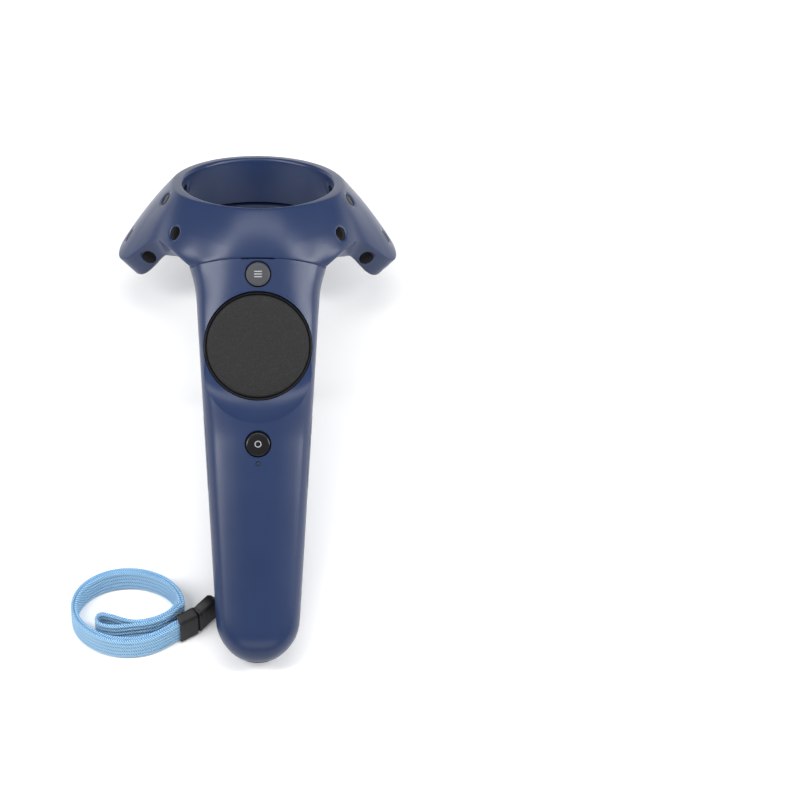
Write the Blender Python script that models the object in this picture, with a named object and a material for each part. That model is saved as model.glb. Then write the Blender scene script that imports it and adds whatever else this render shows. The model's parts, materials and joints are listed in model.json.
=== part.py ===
"""A hand-held VR motion controller: a conical sensor head with a hole, a tapering handle with a
trackpad, buttons, grips and a trigger, and a wrist strap. It lies on a table, trackpad up.

Shapes are worked out in millimetres in the controller's own axes: X to the right, Y from the
trackpad side to the trigger side, Z from the handle's end to the head. An empty lays the
controller down, and mesh_object turns millimetres into metres."""

import math

import bmesh
import bpy
from mathutils import Vector

MM = 0.001
GAP = 0.3

# How the controller lies: its Z axis leans up from the table, and its lowest points are cut flat.
LEAN_DEG = 17.35
LIFT = 6.78
FORWARD = -110.2

# Handle.
WALL = 2.2
TIP_ROUND = 17.0
TIP_DEPTH_ROUND = 12.0
SPLIT_Y = 1.5
HANDLE_TOP = 169.0
NECK_Z = 160.6
HANDLE_SIDES = 32

# Head: a ring about an axis that is tilted towards the trackpad side.
RING_CENTRE = Vector((0.0, 14.3, 199.5))
RING_TILT = math.radians(30.0)
HOLE_RADIUS = 31.2
HEAD_WALL = 2.0
SEAM_TOP_Z = 162.7
SEAM_DROP = 2.6
SEAM_HALF_WIDTH = 26.7
CARRIER_DEPTH = 2.5
CARRIER_THICKNESS = 1.1
WINDOW_RADIUS = 2.2
WINDOW_HOLE_RADIUS = 2.55
WINDOW_RECESS = 0.9
EAR_FACE = (70.0, 82.0)

# Trackpad: a disc on a plane that sinks below the handle's surface towards the handle's end.
PAD_CENTRE = Vector((0.0, -12.1, 127.0))
PAD_TILT = math.radians(6.4)
PAD_RADIUS = 20.9
BEZEL_RADIUS = 21.7
THUMB_STOP_SHIFT = 9.8

# Round buttons.
BUTTON_RADIUS = 4.85
BUTTON_HOLE_RADIUS = 5.3
MENU_Z = 155.8
SYSTEM_Z = 87.2
LIGHT_Z = 79.4
BOARD_FRONT_Y = -3.6
BOARD_THICKNESS = 1.0
CHASSIS_Y = (-2.2, -0.8)

# Trigger.
PIVOT = Vector((0.0, 8.0, 147.0))
TRIGGER_HALF_WIDTH = 10.5
SPRING_Z = 128.5

# Grips.
GRIP_Z = 85.0
GRIP_HALF_LENGTH = 15.0
GRIP_HALF_HEIGHT = 5.2
GRIP_PROUD = 0.1

# Screws through the handle's back: (x, z).
SCREW_PLACES = ((14.3, 30.0), (18.2, 108.0))

# The bar inside the handle's end that the strap's string goes round: (y, z).
BAR_Y = 7.6
BAR_Z = 24.0
BAR_RADIUS = 0.9

# Wrist strap, in millimetres on the table: doubled webbing that stands on edge and leans over by LEAN_OVER.
WEBBING_WIDTH = 10.4
WEBBING_THICKNESS = 2.6
WEBBING_TILT = math.radians(22.0)
COIL_CENTRE = (-52.5, -89.9)
COIL_HALF_SIZE = (21.7, 14.7)
SLEEVE_START = (-32.2, -97.4)
SLEEVE_END = (-25.2, -93.6)
CONNECTOR_END = (-18.2, -86.8)
STRING_RADIUS = 0.8
STRING_HEIGHT = 1.1


# ---------------------------------------------------------------- helpers


def clear_scene():
    for old in list(bpy.data.objects):
        bpy.data.objects.remove(old, do_unlink=True)


def material(name, colour, roughness, metallic=0.0):
    made = bpy.data.materials.new(name)
    made.use_nodes = True
    shader = made.node_tree.nodes["Principled BSDF"]
    shader.inputs["Base Color"].default_value = (*colour, 1.0)
    shader.inputs["Roughness"].default_value = roughness
    shader.inputs["Metallic"].default_value = metallic
    return made


def mesh_object(name, points, faces, look=None, origin=(0.0, 0.0, 0.0), parent=None, smooth=True):
    """points are in millimetres in the parent's axes; the object's own origin goes to origin."""
    mesh = bpy.data.meshes.new(name)
    start = Vector(origin)
    mesh.from_pydata([(Vector(p) - start) * MM for p in points], [], faces)
    working = bmesh.new()
    working.from_mesh(mesh)
    bmesh.ops.recalc_face_normals(working, faces=working.faces)
    working.to_mesh(mesh)
    working.free()
    made = bpy.data.objects.new(name, mesh)
    bpy.context.scene.collection.objects.link(made)
    made.location = start * MM
    made.parent = parent
    if look:
        mesh.materials.append(material(name + "_look", *look))
    if smooth:
        mesh.shade_smooth()
        mesh.set_sharp_from_angle(angle=math.radians(35.0))
    return made


def as_cutter(obj):
    obj.hide_render = True
    obj.display_type = "WIRE"
    return obj


def boolean(obj, other, operation):
    step = obj.modifiers.new(operation.lower() + "_" + other.name, "BOOLEAN")
    step.operation = operation
    step.object = other
    step.solver = "EXACT"


def cut(obj, *cutters):
    for cutter in cutters:
        boolean(obj, as_cutter(cutter), "DIFFERENCE")


def add(obj, *extras):
    for extra in extras:
        boolean(obj, as_cutter(extra), "UNION")


def strip_faces(rings, count, closed):
    """Quads between successive rings of count points, and either a closing strip or end caps."""
    faces = []
    last = rings if closed else rings - 1
    for k in range(last):
        a = k * count
        b = (k + 1) % rings * count
        for i in range(count):
            j = (i + 1) % count
            faces.append((a + i, a + j, b + j, b + i))
    if not closed:
        faces.append(tuple(range(count)))
        faces.append(tuple(range((rings - 1) * count, rings * count)))
    return faces


def loft(name, rings, look=None, closed=False, **options):
    count = len(rings[0])
    points = [p for ring in rings for p in ring]
    return mesh_object(name, points, strip_faces(len(rings), count, closed), look, **options)


def circle(centre, axis, radius, count=24):
    """Points of a circle about axis."""
    turn = Vector(axis).to_track_quat("Z", "Y").to_matrix()
    spots = []
    for k in range(count):
        angle = math.tau * (k + 0.5) / count
        spots.append(Vector(centre) + turn @ Vector((math.cos(angle), math.sin(angle), 0.0)) * radius)
    return spots


def turned(name, centre, axis, profile, look=None, count=24, **options):
    """A solid of revolution: profile lists (radius, distance along axis) from one end to the other."""
    direction = Vector(axis).normalized()
    rings = [circle(Vector(centre) + direction * along, axis, radius, count) for radius, along in profile]
    return loft(name, rings, look, **options)


def cylinder(name, start, end, radius, look=None, count=24, **options):
    axis = Vector(end) - Vector(start)
    return turned(name, start, axis, ((radius, 0.0), (radius, axis.length)), look, count, **options)


def block(name, low, high, look=None, bevel=0.0, **options):
    corners = [(x, y, z) for z in (low[2], high[2]) for x, y in (
        (low[0], low[1]), (high[0], low[1]), (high[0], high[1]), (low[0], high[1]))]
    made = loft(name, [corners[:4], corners[4:]], look, smooth=False, **options)
    if bevel:
        rounding = made.modifiers.new("rounding", "BEVEL")
        rounding.width = bevel * MM
        rounding.segments = 2
    return made


def prism(name, outline, low_x, high_x, look=None, **options):
    """An outline of (y, z) points carried from low_x to high_x."""
    return loft(name, [[(x, y, z) for y, z in outline] for x in (low_x, high_x)], look, **options)


# ---------------------------------------------------------------- handle shape


def body_half_width(z):
    height = min(z, NECK_Z)
    flare = 0.011 * max(0.0, height - 147.0) ** 2
    return 15.85 + 0.0625 * height + flare


def rounding_at(z, length):
    """How much of the full section is left at height z of the rounded tip."""
    if z >= length:
        return 1.0
    return math.sqrt(max(0.0, 1.0 - ((length - z) / length) ** 2))


def squareness(z):
    """The section's exponent: squarer shoulders beside the trackpad."""
    near_pad = max(0.0, 1.0 - ((z - PAD_CENTRE.z) / 38.0) ** 2)
    return 2.6 + 1.6 * near_pad**2


def handle_ring(z, inset):
    """The handle's cross-section at height z, moved inwards by inset."""
    half = (body_half_width(z)) * rounding_at(z, TIP_ROUND) - inset
    shrink = rounding_at(z, TIP_DEPTH_ROUND)
    front = (10.9 + 0.029 * z) * shrink - inset
    back = (10.4 + 0.042 * z) * shrink - inset
    power = 2.0 / squareness(z)
    ring = []
    for k in range(HANDLE_SIDES):
        angle = math.tau * (k + 0.5) / HANDLE_SIDES
        across, along = math.cos(angle), math.sin(angle)
        depth = back if along > 0 else front
        x = math.copysign(abs(across) ** power, across) * half
        y = math.copysign(abs(along) ** power, along) * depth
        ring.append((x, y, z))
    return ring


def handle_front_y(x, z):
    """The handle's front surface, for a point beside the seam."""
    share = min(1.0, abs(x) / body_half_width(z))
    power = squareness(z)
    return -(10.9 + 0.029 * z) * (1.0 - share**power) ** (1.0 / power)


def handle_solid(name, inset, bottom, parent):
    """A solid of the handle's shape. bottom is the height at which an inset one starts."""
    levels = [bottom + (TIP_ROUND - bottom) * (1 - math.cos(math.radians(a))) for a in (12, 28, 44, 60, 76)]
    level = 24.0
    while level < HANDLE_TOP:
        levels.append(level)
        level += 21.0 if level < 80 else 9.0
    levels.append(HANDLE_TOP)
    return loft(name, [handle_ring(z, inset) for z in levels], parent=parent)


# ---------------------------------------------------------------- head shape


def ring_axes():
    along = Vector((0.0, -math.sin(RING_TILT), math.cos(RING_TILT)))
    far = Vector((0.0, math.cos(RING_TILT), math.sin(RING_TILT)))
    return far, along


def to_ring(point):
    """(angle from the near side in degrees, radius, height) about the ring's axis."""
    far, along = ring_axes()
    offset = Vector(point) - RING_CENTRE
    across, back, height = offset.x, offset.dot(far), offset.dot(along)
    return math.degrees(math.atan2(abs(across), -back)), math.hypot(across, back), height


def from_ring(angle, side, radius, height):
    """The point at angle degrees from the near side, on the side +1 or -1."""
    far, along = ring_axes()
    turn = math.radians(angle)
    return RING_CENTRE + Vector((side * math.sin(turn) * radius, 0.0, 0.0)) \
        - far * math.cos(turn) * radius + along * height


# The head's outer edge beyond the seam: angle, radius, height. Angles 66 to 82 are the ear's end face.
OUTER_EDGE = (
    (40.0, 47.1, -20.8),
    (50.0, 46.1, -19.3),
    (60.0, 45.4, -18.6),
    (66.0, 45.6, -18.9),
    (70.0, 47.2, -20.6),
    (76.5, 51.2, -26.2),
    (82.0, 55.6, -31.6),
    (86.5, 58.0, -33.0),
    (92.0, 58.6, -32.0),
    (104.0, 57.4, -29.4),
    (120.0, 54.4, -26.6),
    (136.0, 51.4, -24.6),
    (152.0, 49.4, -23.4),
    (166.0, 48.4, -23.0),
    (180.0, 48.2, -22.9),
)


def between(value, low, high):
    """0 up to low, 1 from high, and smooth between them."""
    share = min(1.0, max(0.0, (value - low) / (high - low)))
    return share * share * (3 - 2 * share)


def mix(a, b, share):
    return a + (b - a) * share


def edge_points():
    """The outer edge from the near side to the far side: along the seam, then round the ear."""
    seam = []
    for x in (0.0, 7.0, 14.0, 20.5, SEAM_HALF_WIDTH):
        z = seam_height(x)
        seam.append(to_ring((x, handle_front_y(x, z), z)))
    return [*seam, *OUTER_EDGE]


def section(angle, edge_radius, edge_height):
    """Named corners of the head's section at that angle, as (radius, height)."""
    side = between(angle, 20, 75)
    far = between(angle, 95, 160)
    band = between(angle, 30, 40)
    edge = Vector((edge_radius, edge_height))
    lip_radius = HOLE_RADIUS + mix(mix(3.6, 6.2, side), 4.4, far)
    lip = Vector((lip_radius, mix(mix(-24.0, -26.2, side), -21.8, far)))
    near_bottom = edge.lerp(lip, 0.45) + Vector((0.4, -1.9))
    ear = between(angle, 64, 82)
    free_bottom = edge + Vector((mix(mix(-4.0, -7.8, ear), -5.0, far), mix(-7.8, -9.8, far)))
    return {
        "lip": lip,
        "wall": Vector((HOLE_RADIUS + mix(1.1, 2.0, side), -12.0)),
        "hole": Vector((HOLE_RADIUS, -1.6)),
        "crest_in": Vector((HOLE_RADIUS + 0.7, -0.35)),
        "crest_out": Vector((HOLE_RADIUS + mix(1.7, 4.7, side), -0.6)),
        "edge": edge,
        "bottom": near_bottom.lerp(free_bottom, band),
    }


def slope_point(shape, share):
    """A point on the slope between crest and edge, bowed out a little at the sides."""
    straight = shape["crest_out"].lerp(shape["edge"], share)
    run = shape["edge"] - shape["crest_out"]
    outwards = Vector((-run.y, run.x)).normalized()
    return straight + outwards * 0.9 * 4 * share * (1 - share)


def offset_path(path, distance, closed=False):
    """The path moved to its right by distance, with mitred corners."""
    moved = []
    last = len(path) - 1
    for k, point in enumerate(path):
        before = path[k] - path[k - 1] if closed or k > 0 else path[1] - path[0]
        after = path[(k + 1) % len(path)] - path[k] if closed or k < last else path[last] - path[last - 1]
        first = Vector((before.y, -before.x)).normalized()
        second = Vector((after.y, -after.x)).normalized()
        middle = (first + second).normalized()
        moved.append(point + middle * distance / max(0.45, middle.dot(first)))
    return moved


def cover_section(shape):
    path = [shape["lip"], shape["wall"], shape["hole"], shape["crest_in"], shape["crest_out"]]
    path += [slope_point(shape, 0.35), slope_point(shape, 0.7), shape["edge"]]
    return path + offset_path(path, HEAD_WALL)[::-1]


def base_section(shape):
    start = HEAD_WALL + GAP
    edge, bottom, lip = shape["edge"], shape["bottom"], shape["lip"]
    path = [edge + (bottom - edge).normalized() * start, bottom, lip + (bottom - lip).normalized() * start]
    return path + offset_path(path, HEAD_WALL)[::-1]


def envelope_section(shape):
    path = [shape["lip"], shape["wall"], shape["hole"], shape["crest_in"], shape["crest_out"]]
    path += [slope_point(shape, 0.35), slope_point(shape, 0.7), shape["edge"], shape["bottom"]]
    return offset_path(path, -GAP, closed=True)


def carrier_depth(shape):
    """How deep the carrier band lies below the slope; deeper in the ear, which slants."""
    return CARRIER_DEPTH + 0.8 * min(1.0, max(0.0, (-23.0 - shape["edge"].y) / 8.0))


def carrier_path(shape, extra):
    """The carrier band's line in the section; it starts higher up where the ring is thicker."""
    room = shape["crest_out"].x - HOLE_RADIUS
    start = mix(0.36, 0.16, min(1.0, max(0.0, (room - 2.4) / 2.0)))
    path = [slope_point(shape, share) for share in (start, 0.6, 0.88)]
    return offset_path(path, carrier_depth(shape) + extra)


def carrier_section(shape):
    return carrier_path(shape, 0.0) + carrier_path(shape, CARRIER_THICKNESS)[::-1]


def head_stations():
    """Every station round the ring as (angle, side, corners), starting at the near side."""
    right = [(angle, 1, section(angle, radius, height)) for angle, radius, height in edge_points()]
    left = [(angle, -1, corners) for angle, _, corners in right[-2:0:-1]]
    return right + left


def head_loft(name, outline_of, look=None, **options):
    rings = []
    for angle, side, corners in head_stations():
        rings.append([from_ring(angle, side, p.x, p.y) for p in outline_of(corners)])
    return loft(name, rings, look, closed=True, **options)


def corners_at(angle):
    """The section at any angle, by sliding between the edge points."""
    points = edge_points()
    for (a, ra, ha), (b, rb, hb) in zip(points, points[1:]):
        if a <= angle <= b:
            share = (angle - a) / (b - a)
            return section(angle, mix(ra, rb, share), mix(ha, hb, share))
    return section(*points[-1])


# Sensor windows of one side: the surface, the angle from the near side and the place along that surface.
WINDOWS = (
    ("slope", 52.0, 0.70),
    ("slope", 78.0, 0.17),
    ("slope", 92.0, 0.78),
    ("slope", 118.0, 0.30),
    ("slope", 134.0, 0.72),
    ("slope", 168.0, 0.45),
    ("wall", 110.0, 0.62),
    ("ear", 75.0, 0.5),
    ("bottom", 97.0, 0.55),
    ("bottom", 128.0, 0.45),
    ("bottom", 160.0, 0.5),
)


def window_place(kind, angle, share, side):
    """(centre on the surface, outward direction) of a sensor window."""
    shape = corners_at(angle)
    ends = {"wall": ("hole", "wall"), "bottom": ("bottom", "lip"), "ear": ("edge", "bottom")}
    if kind == "slope":
        spot = slope_point(shape, share)
        run = slope_point(shape, share + 0.05) - slope_point(shape, share - 0.05)
    else:
        first, second = (shape[word] for word in ends[kind])
        spot = first.lerp(second, share)
        run = second - first
    outwards = Vector((-run.y, run.x)).normalized()
    if kind in ("wall", "bottom") and outwards.x > 0:
        outwards = -outwards
    centre = from_ring(angle, side, spot.x, spot.y)
    if kind == "ear":
        inner, outer = corners_at(EAR_FACE[0]), corners_at(EAR_FACE[1])
        along_edge = (from_ring(EAR_FACE[1], side, *outer["edge"])
                      - from_ring(EAR_FACE[0], side, *inner["edge"]))
        along_band = from_ring(angle, side, *shape["bottom"]) - from_ring(angle, side, *shape["edge"])
        direction = along_edge.cross(along_band).normalized()
        return centre, direction if direction.y < 0 else -direction
    tip = from_ring(angle, side, spot.x + outwards.x, spot.y + outwards.y)
    return centre, (tip - centre).normalized()


def window_holes(name, kinds, parent):
    """One mesh of the holes of those kinds of window."""
    points, faces = [], []
    sides = 12
    for kind, angle, share in WINDOWS:
        for side in (1, -1):
            if kind in kinds:
                centre, outwards = window_place(kind, angle, share, side)
                first = len(points)
                points += circle(centre + outwards * 4.0, outwards, WINDOW_HOLE_RADIUS, sides)
                points += circle(centre - outwards * 3.6, outwards, WINDOW_HOLE_RADIUS, sides)
                faces += [tuple(first + i for i in face) for face in strip_faces(2, sides, False)]
    return mesh_object(name, points, faces, parent=parent)


def sensor_posts(parent):
    """The posts that stand on the carrier behind the sloping face's windows."""
    posts = []
    for kind, angle, share in WINDOWS:
        for side in (1, -1):
            if kind == "slope":
                centre, outwards = window_place(kind, angle, share, side)
                depth = carrier_depth(corners_at(angle)) + CARRIER_THICKNESS / 2
                posts.append(cylinder(f"post_{angle:.0f}_{side}", centre - outwards * WINDOW_RECESS,
                                      centre - outwards * depth, WINDOW_RADIUS, count=10, parent=parent))
    return posts


# ---------------------------------------------------------------- building


BLUE = ((0.031, 0.053, 0.135), 0.42)
BLACK = ((0.012, 0.012, 0.013), 0.45)
CHARCOAL = ((0.045, 0.045, 0.048), 0.7)
GREY = ((0.10, 0.10, 0.105), 0.45)
BOARD = ((0.02, 0.14, 0.06), 0.5)
STEEL = ((0.55, 0.55, 0.56), 0.32, 1.0)
BRASS = ((0.60, 0.42, 0.14), 0.35, 1.0)
SKY = ((0.16, 0.41, 0.83), 0.85)
SILVER = ((0.62, 0.63, 0.65), 0.4, 1.0)


def pad_axis():
    return Vector((0.0, -math.cos(PAD_TILT), -math.sin(PAD_TILT)))


def thumb_stop(name, swell, parent):
    """The crescent below the trackpad: a ramp from the pad's plane up to a circle on the surface."""
    inner = circle(PAD_CENTRE - pad_axis() * (0.6 + swell), pad_axis(), BEZEL_RADIUS + GAP + swell, 40)
    radius = BEZEL_RADIUS + swell
    rim, top = [], []
    for point in inner:
        away = point - PAD_CENTRE
        turn = math.atan2(away.x, -away.z)
        shifted = THUMB_STOP_SHIFT * math.cos(turn)
        reach = shifted + math.sqrt(radius**2 - (THUMB_STOP_SHIFT * math.sin(turn)) ** 2)
        reach = max(reach, radius + GAP + 0.1)
        x = math.sin(turn) * reach
        z = PAD_CENTRE.z - math.cos(turn) * reach
        y = handle_front_y(x, z) + swell if abs(x) < body_half_width(z) - 0.3 else -8.0
        rim.append((x, y - 0.04, z))
        top.append((x, -30.0, z))
    return loft(name, [inner, rim, top], parent=parent)


def stadium(half_length, half_height, centre_y, centre_z, steps=6):
    """A rounded slot's outline as (y, z), long along z."""
    outline = []
    straight = half_length - half_height
    for end, start in ((1, 0.0), (-1, 180.0)):
        for k in range(steps + 1):
            angle = math.radians(start + 180.0 * k / steps)
            outline.append((centre_y + half_height * math.cos(angle),
                            centre_z + end * straight + half_height * math.sin(angle)))
    return outline


def hole_plug(name, swell, parent):
    """The head's hole as a solid that narrows below the ring, where the neck slopes to the trigger."""
    _, along = ring_axes()
    profile = ((8.0, -53.0), (22.0, -37.5), (HOLE_RADIUS + 3.7, -24.0), (HOLE_RADIUS + 1.2, -12.0),
               (HOLE_RADIUS, -1.6), (44.0, 24.0))
    swollen = [(radius + swell, height - swell * 0.3) for radius, height in profile]
    return turned(name, RING_CENTRE, along, swollen, count=36, parent=parent)


def seam_height(x):
    return SEAM_TOP_Z - SEAM_DROP * (x / SEAM_HALF_WIDTH) ** 2


def above_seam(name, parent):
    """Everything of the handle's front that the head cover takes over."""
    spots = [-34.0 + 4.0 * k for k in range(18)]
    outline = [(x, seam_height(x) - GAP * 0.9) for x in spots] + [(34.0, 190.0), (-34.0, 190.0)]
    return loft(name, [[(x, y, z) for x, z in outline] for y in (-40.0, -6.6)], parent=parent, smooth=False)


def screw_seat(x, z):
    """How far back the screw's head sits."""
    share = x / body_half_width(z)
    power = squareness(z)
    return (10.4 + 0.042 * z) * (1 - share**power) ** (1 / power) - 3.4


def screw_bosses(shell, low_y, high_y, radius, frame):
    """Posts for the handle screws; they cross the split, which is cut afterwards."""
    word = shell.name.split("_")[1]
    for x, z in SCREW_PLACES:
        top = min(high_y, screw_seat(x, z) + 1.6)
        for side in (1, -1):
            add(shell, cylinder(f"boss_{word}_{z:.0f}_{side}", (side * x, low_y, z), (side * x, top, z),
                                radius, count=16, parent=frame))


def handle_shells(frame):
    front = handle_solid("handle_front_shell", 0.0, 0.0, frame)
    back = handle_solid("handle_back_shell", 0.0, 0.0, frame)
    cavity = handle_solid("cut_handle_cavity", WALL, 2.6, frame)
    cut(cavity, hole_plug("cut_cavity_top", WALL, frame))
    cut(cavity, thumb_stop("cut_thumb_stop_backing", 2.0, frame))
    plug = hole_plug("cut_neck_top", 0.0, frame)
    seam = above_seam("cut_above_seam", frame)
    envelope = head_loft("cut_head_envelope", envelope_section, parent=frame)
    cut(front, cavity)
    cut(back, cavity)
    screw_bosses(front, -5.2, 5.0, 2.4, frame)
    screw_bosses(back, -3.0, 30.0, 2.9, frame)
    add(back, block("lanyard_walls", (-7.0, 2.4, BAR_Z - 5.0), (7.0, 9.4, BAR_Z + 5.0), parent=frame))
    behind = block("cut_back_half", (-50, SPLIT_Y - GAP / 2, -5), (50, 60, 260), parent=frame)
    add(behind, block("neck_step", (-22.0, -6.2, 156.8), (22.0, 20.0, 180.0), parent=frame))
    before = block("cut_front_half", (-50, -60, -5), (50, SPLIT_Y + GAP / 2, 260), parent=frame)
    cut(before, block("cut_neck_step", (-21.7, -5.9, 157.1), (21.7, 20.0, 181.0), parent=frame))
    cut(front, behind)
    cut(back, before)
    for shell in (front, back):
        cut(shell, plug, seam, envelope)
    front.data.materials.append(material("front_shell_blue", *BLUE))
    back.data.materials.append(material("back_shell_blue", *BLUE))
    front_openings(front, frame)
    back_openings(back, frame)
    for side in (1, -1):
        opening = stadium(GRIP_HALF_LENGTH + 0.35, GRIP_HALF_HEIGHT + 0.35, 0.4, GRIP_Z)
        low, high = sorted((side * 12.0, side * 32.0))
        slot = prism(f"cut_grip_{side}", opening, low, high, parent=frame)
        cut(front, slot)
        cut(back, slot)
    return front, back


def front_openings(shell, frame):
    axis = pad_axis()
    recess = cylinder("cut_pad_recess", PAD_CENTRE - axis * 6.2, PAD_CENTRE + axis * 14.0,
                      BEZEL_RADIUS + GAP, count=40, parent=frame)
    cut(shell, recess, thumb_stop("cut_thumb_stop", 0.0, frame))
    for name, z in (("menu", MENU_Z), ("system", SYSTEM_Z)):
        cut(shell, cylinder(f"cut_{name}_hole", (0, -22, z), (0, -8, z), BUTTON_HOLE_RADIUS, parent=frame))
    cut(shell, cylinder("cut_light_hole", (0, -22, LIGHT_Z), (0, -8, LIGHT_Z), 1.0, count=12, parent=frame))
    cut(shell, block("cut_socket_mouth", (-4.3, -3.4, -4), (4.3, 0.9, 5), parent=frame))
    for x, z in SCREW_PLACES:
        for side in (1, -1):
            spot = side * x
            cut(shell, cylinder(f"cut_pilot_{z:.0f}_{side}", (spot, -4.0, z), (spot, 4.0, z),
                                1.25, count=12, parent=frame))


def back_openings(shell, frame):
    cut(shell, block("cut_trigger_slot", (-11.2, 4.0, 110.0), (11.2, 30.0, 151.0), parent=frame))
    for x, z in SCREW_PLACES:
        seat = screw_seat(x, z)
        for side in (1, -1):
            cut(shell, turned(f"cut_screw_{z:.0f}_{side}", (side * x, -1.0, z), (0, 1, 0),
                              ((1.25, 0.0), (1.25, seat + 1.0), (2.3, seat + 1.01), (2.3, seat + 12.0)),
                              count=16, parent=frame))
    cut(shell, block("cut_lanyard_pocket", (-5.0, 4.4, BAR_Z - 3.2), (5.0, 16.0, BAR_Z + 3.2), parent=frame))
    cut(shell, cylinder("cut_lanyard_bar", (-6.3, BAR_Y, BAR_Z), (6.3, BAR_Y, BAR_Z), BAR_RADIUS + GAP,
                        count=16, parent=frame))


def head_shells(frame):
    cover = head_loft("head_cover", cover_section, BLUE, parent=frame)
    stations = head_stations()
    open_rings = {"head_base": [], "sensor_carrier": []}
    for angle, side, corners in stations:
        for name, outline_of, start in (("head_base", base_section, 35.0),
                                        ("sensor_carrier", carrier_section, 39.0)):
            if angle > start:
                open_rings[name].append([from_ring(angle, side, p.x, p.y) for p in outline_of(corners)])
    base = loft("head_base", open_rings["head_base"], BLUE, parent=frame)
    carrier = loft("sensor_carrier", open_rings["sensor_carrier"], BLACK, parent=frame)
    add(carrier, *sensor_posts(frame))
    for kind in ("slope", "wall"):
        cut(cover, window_holes(f"cut_{kind}_windows", (kind,), frame))
    ends = window_holes("cut_end_windows", ("ear", "bottom"), frame)
    cut(cover, ends)
    cut(base, ends)
    return cover, base, carrier


def head_screws(frame, cover, base, carrier):
    """Two screws through the far lobe's underside into posts of the cover."""
    angle, share = 147.0, 0.84
    shape = corners_at(angle)
    spot = slope_point(shape, share)
    run = slope_point(shape, share + 0.05) - slope_point(shape, share - 0.05)
    inwards = Vector((run.y, -run.x)).normalized()
    for side, word in ((1, "right"), (-1, "left")):
        top = from_ring(angle, side, spot.x, spot.y)
        axis = (from_ring(angle, side, spot.x + inwards.x, spot.y + inwards.y) - top).normalized()

        def at(depth):
            return top + axis * depth

        add(cover, cylinder(f"boss_cover_{word}", at(1.0), at(5.6), 2.4, count=16, parent=frame))
        cut(cover, cylinder(f"cut_cover_pilot_{word}", at(3.0), at(8.0), 1.25, count=12, parent=frame))
        add(base, cylinder(f"boss_base_{word}", at(5.9), at(9.6), 2.9, count=16, parent=frame))
        cut(base, turned(f"cut_base_screw_{word}", at(4.0), axis,
                         ((1.25, 0.0), (1.25, 3.6), (2.3, 3.61), (2.3, 10.0)), count=16, parent=frame))
        cut(carrier, cylinder(f"cut_carrier_boss_{word}", at(0.5), at(9.0), 3.4, count=16, parent=frame))
        screw(f"head_screw_{word}", at(7.9), -axis, 4.2, frame)


def screw(name, seat, tip_direction, length, frame):
    """A pan-head screw: seat is under the head, the shank runs along tip_direction."""
    profile = ((1.0, length), (1.0, 0.0), (1.95, -0.01), (1.95, -1.1), (1.5, -1.5))
    made = turned(name, seat, tip_direction, profile, STEEL, count=16, parent=frame)
    return made


def handle_screws(frame):
    for x, z in SCREW_PLACES:
        where = "lower" if z < 60 else "upper"
        for side, word in ((1, "right"), (-1, "left")):
            seat = screw_seat(x, z) + GAP
            screw(f"handle_screw_{where}_{word}", (side * x, seat, z), (0, -1, 0), seat + 3.4, frame)


def chassis(frame):
    front, back = CHASSIS_Y
    made = block("chassis", (-11.0, front, 22.0), (11.0, back, 150.0), ((0.09, 0.09, 0.095), 0.5), parent=frame)
    wide = block("chassis_wide", (-14.2, front, 143.0), (14.2, back, 156.0), parent=frame)
    add(made, wide)
    for side in (1, -1):
        inner, outer = sorted((side * 12.0, side * 14.0))
        rail = block(f"chassis_rail_{side}", (inner, -10.8, 149.0), (outer, back - 0.2, 156.0), parent=frame)
        low, high = sorted((side * 8.2, side * 13.9))
        tongue = block(f"chassis_tongue_{side}", (low, -10.7, 149.0), (high, -9.3, 168.0), parent=frame)
        low, high = sorted((side * 11.6, side * 13.8))
        ear = block(f"chassis_ear_{side}", (low, back - 0.5, 143.5), (high, 11.4, 150.8), parent=frame)
        add(made, rail, tongue, ear)
    cut(made, cylinder("cut_pin_holes", (-20, PIVOT.y, PIVOT.z), (20, PIVOT.y, PIVOT.z), 1.75, parent=frame))
    return made


def boards_and_battery(frame):
    back = BOARD_FRONT_Y + BOARD_THICKNESS
    board = block("main_board", (-11.4, BOARD_FRONT_Y, 26.0), (11.4, back, 140.0), BOARD, parent=frame)
    add(board, block("board_neck", (-11.0, BOARD_FRONT_Y, 138.0), (11.0, back, 158.0), parent=frame))
    block("battery", (-10.5, -0.4, 30.0), (10.5, 6.8, 80.0), SILVER, bevel=1.0, parent=frame)
    block("haptic_motor", (-6.0, -0.4, 88.0), (6.0, 5.6, 104.0), STEEL, bevel=0.8, parent=frame)
    usb = block("charging_board", (-7.5, 1.0, 6.5), (7.5, 1.8, 24.0), BOARD, parent=frame)
    socket = block("charging_socket", (-4.0, -2.9, 2.6), (4.0, 0.6, 8.6), STEEL, parent=frame)
    cut(socket, block("cut_socket", (-3.4, -2.3, 0.0), (3.4, 0.0, 7.4), parent=frame))
    cut(socket, block("cut_socket_key", (-1.4, -2.4, 0.0), (1.4, -1.9, 3.0), parent=frame))
    return board, usb, socket


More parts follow.
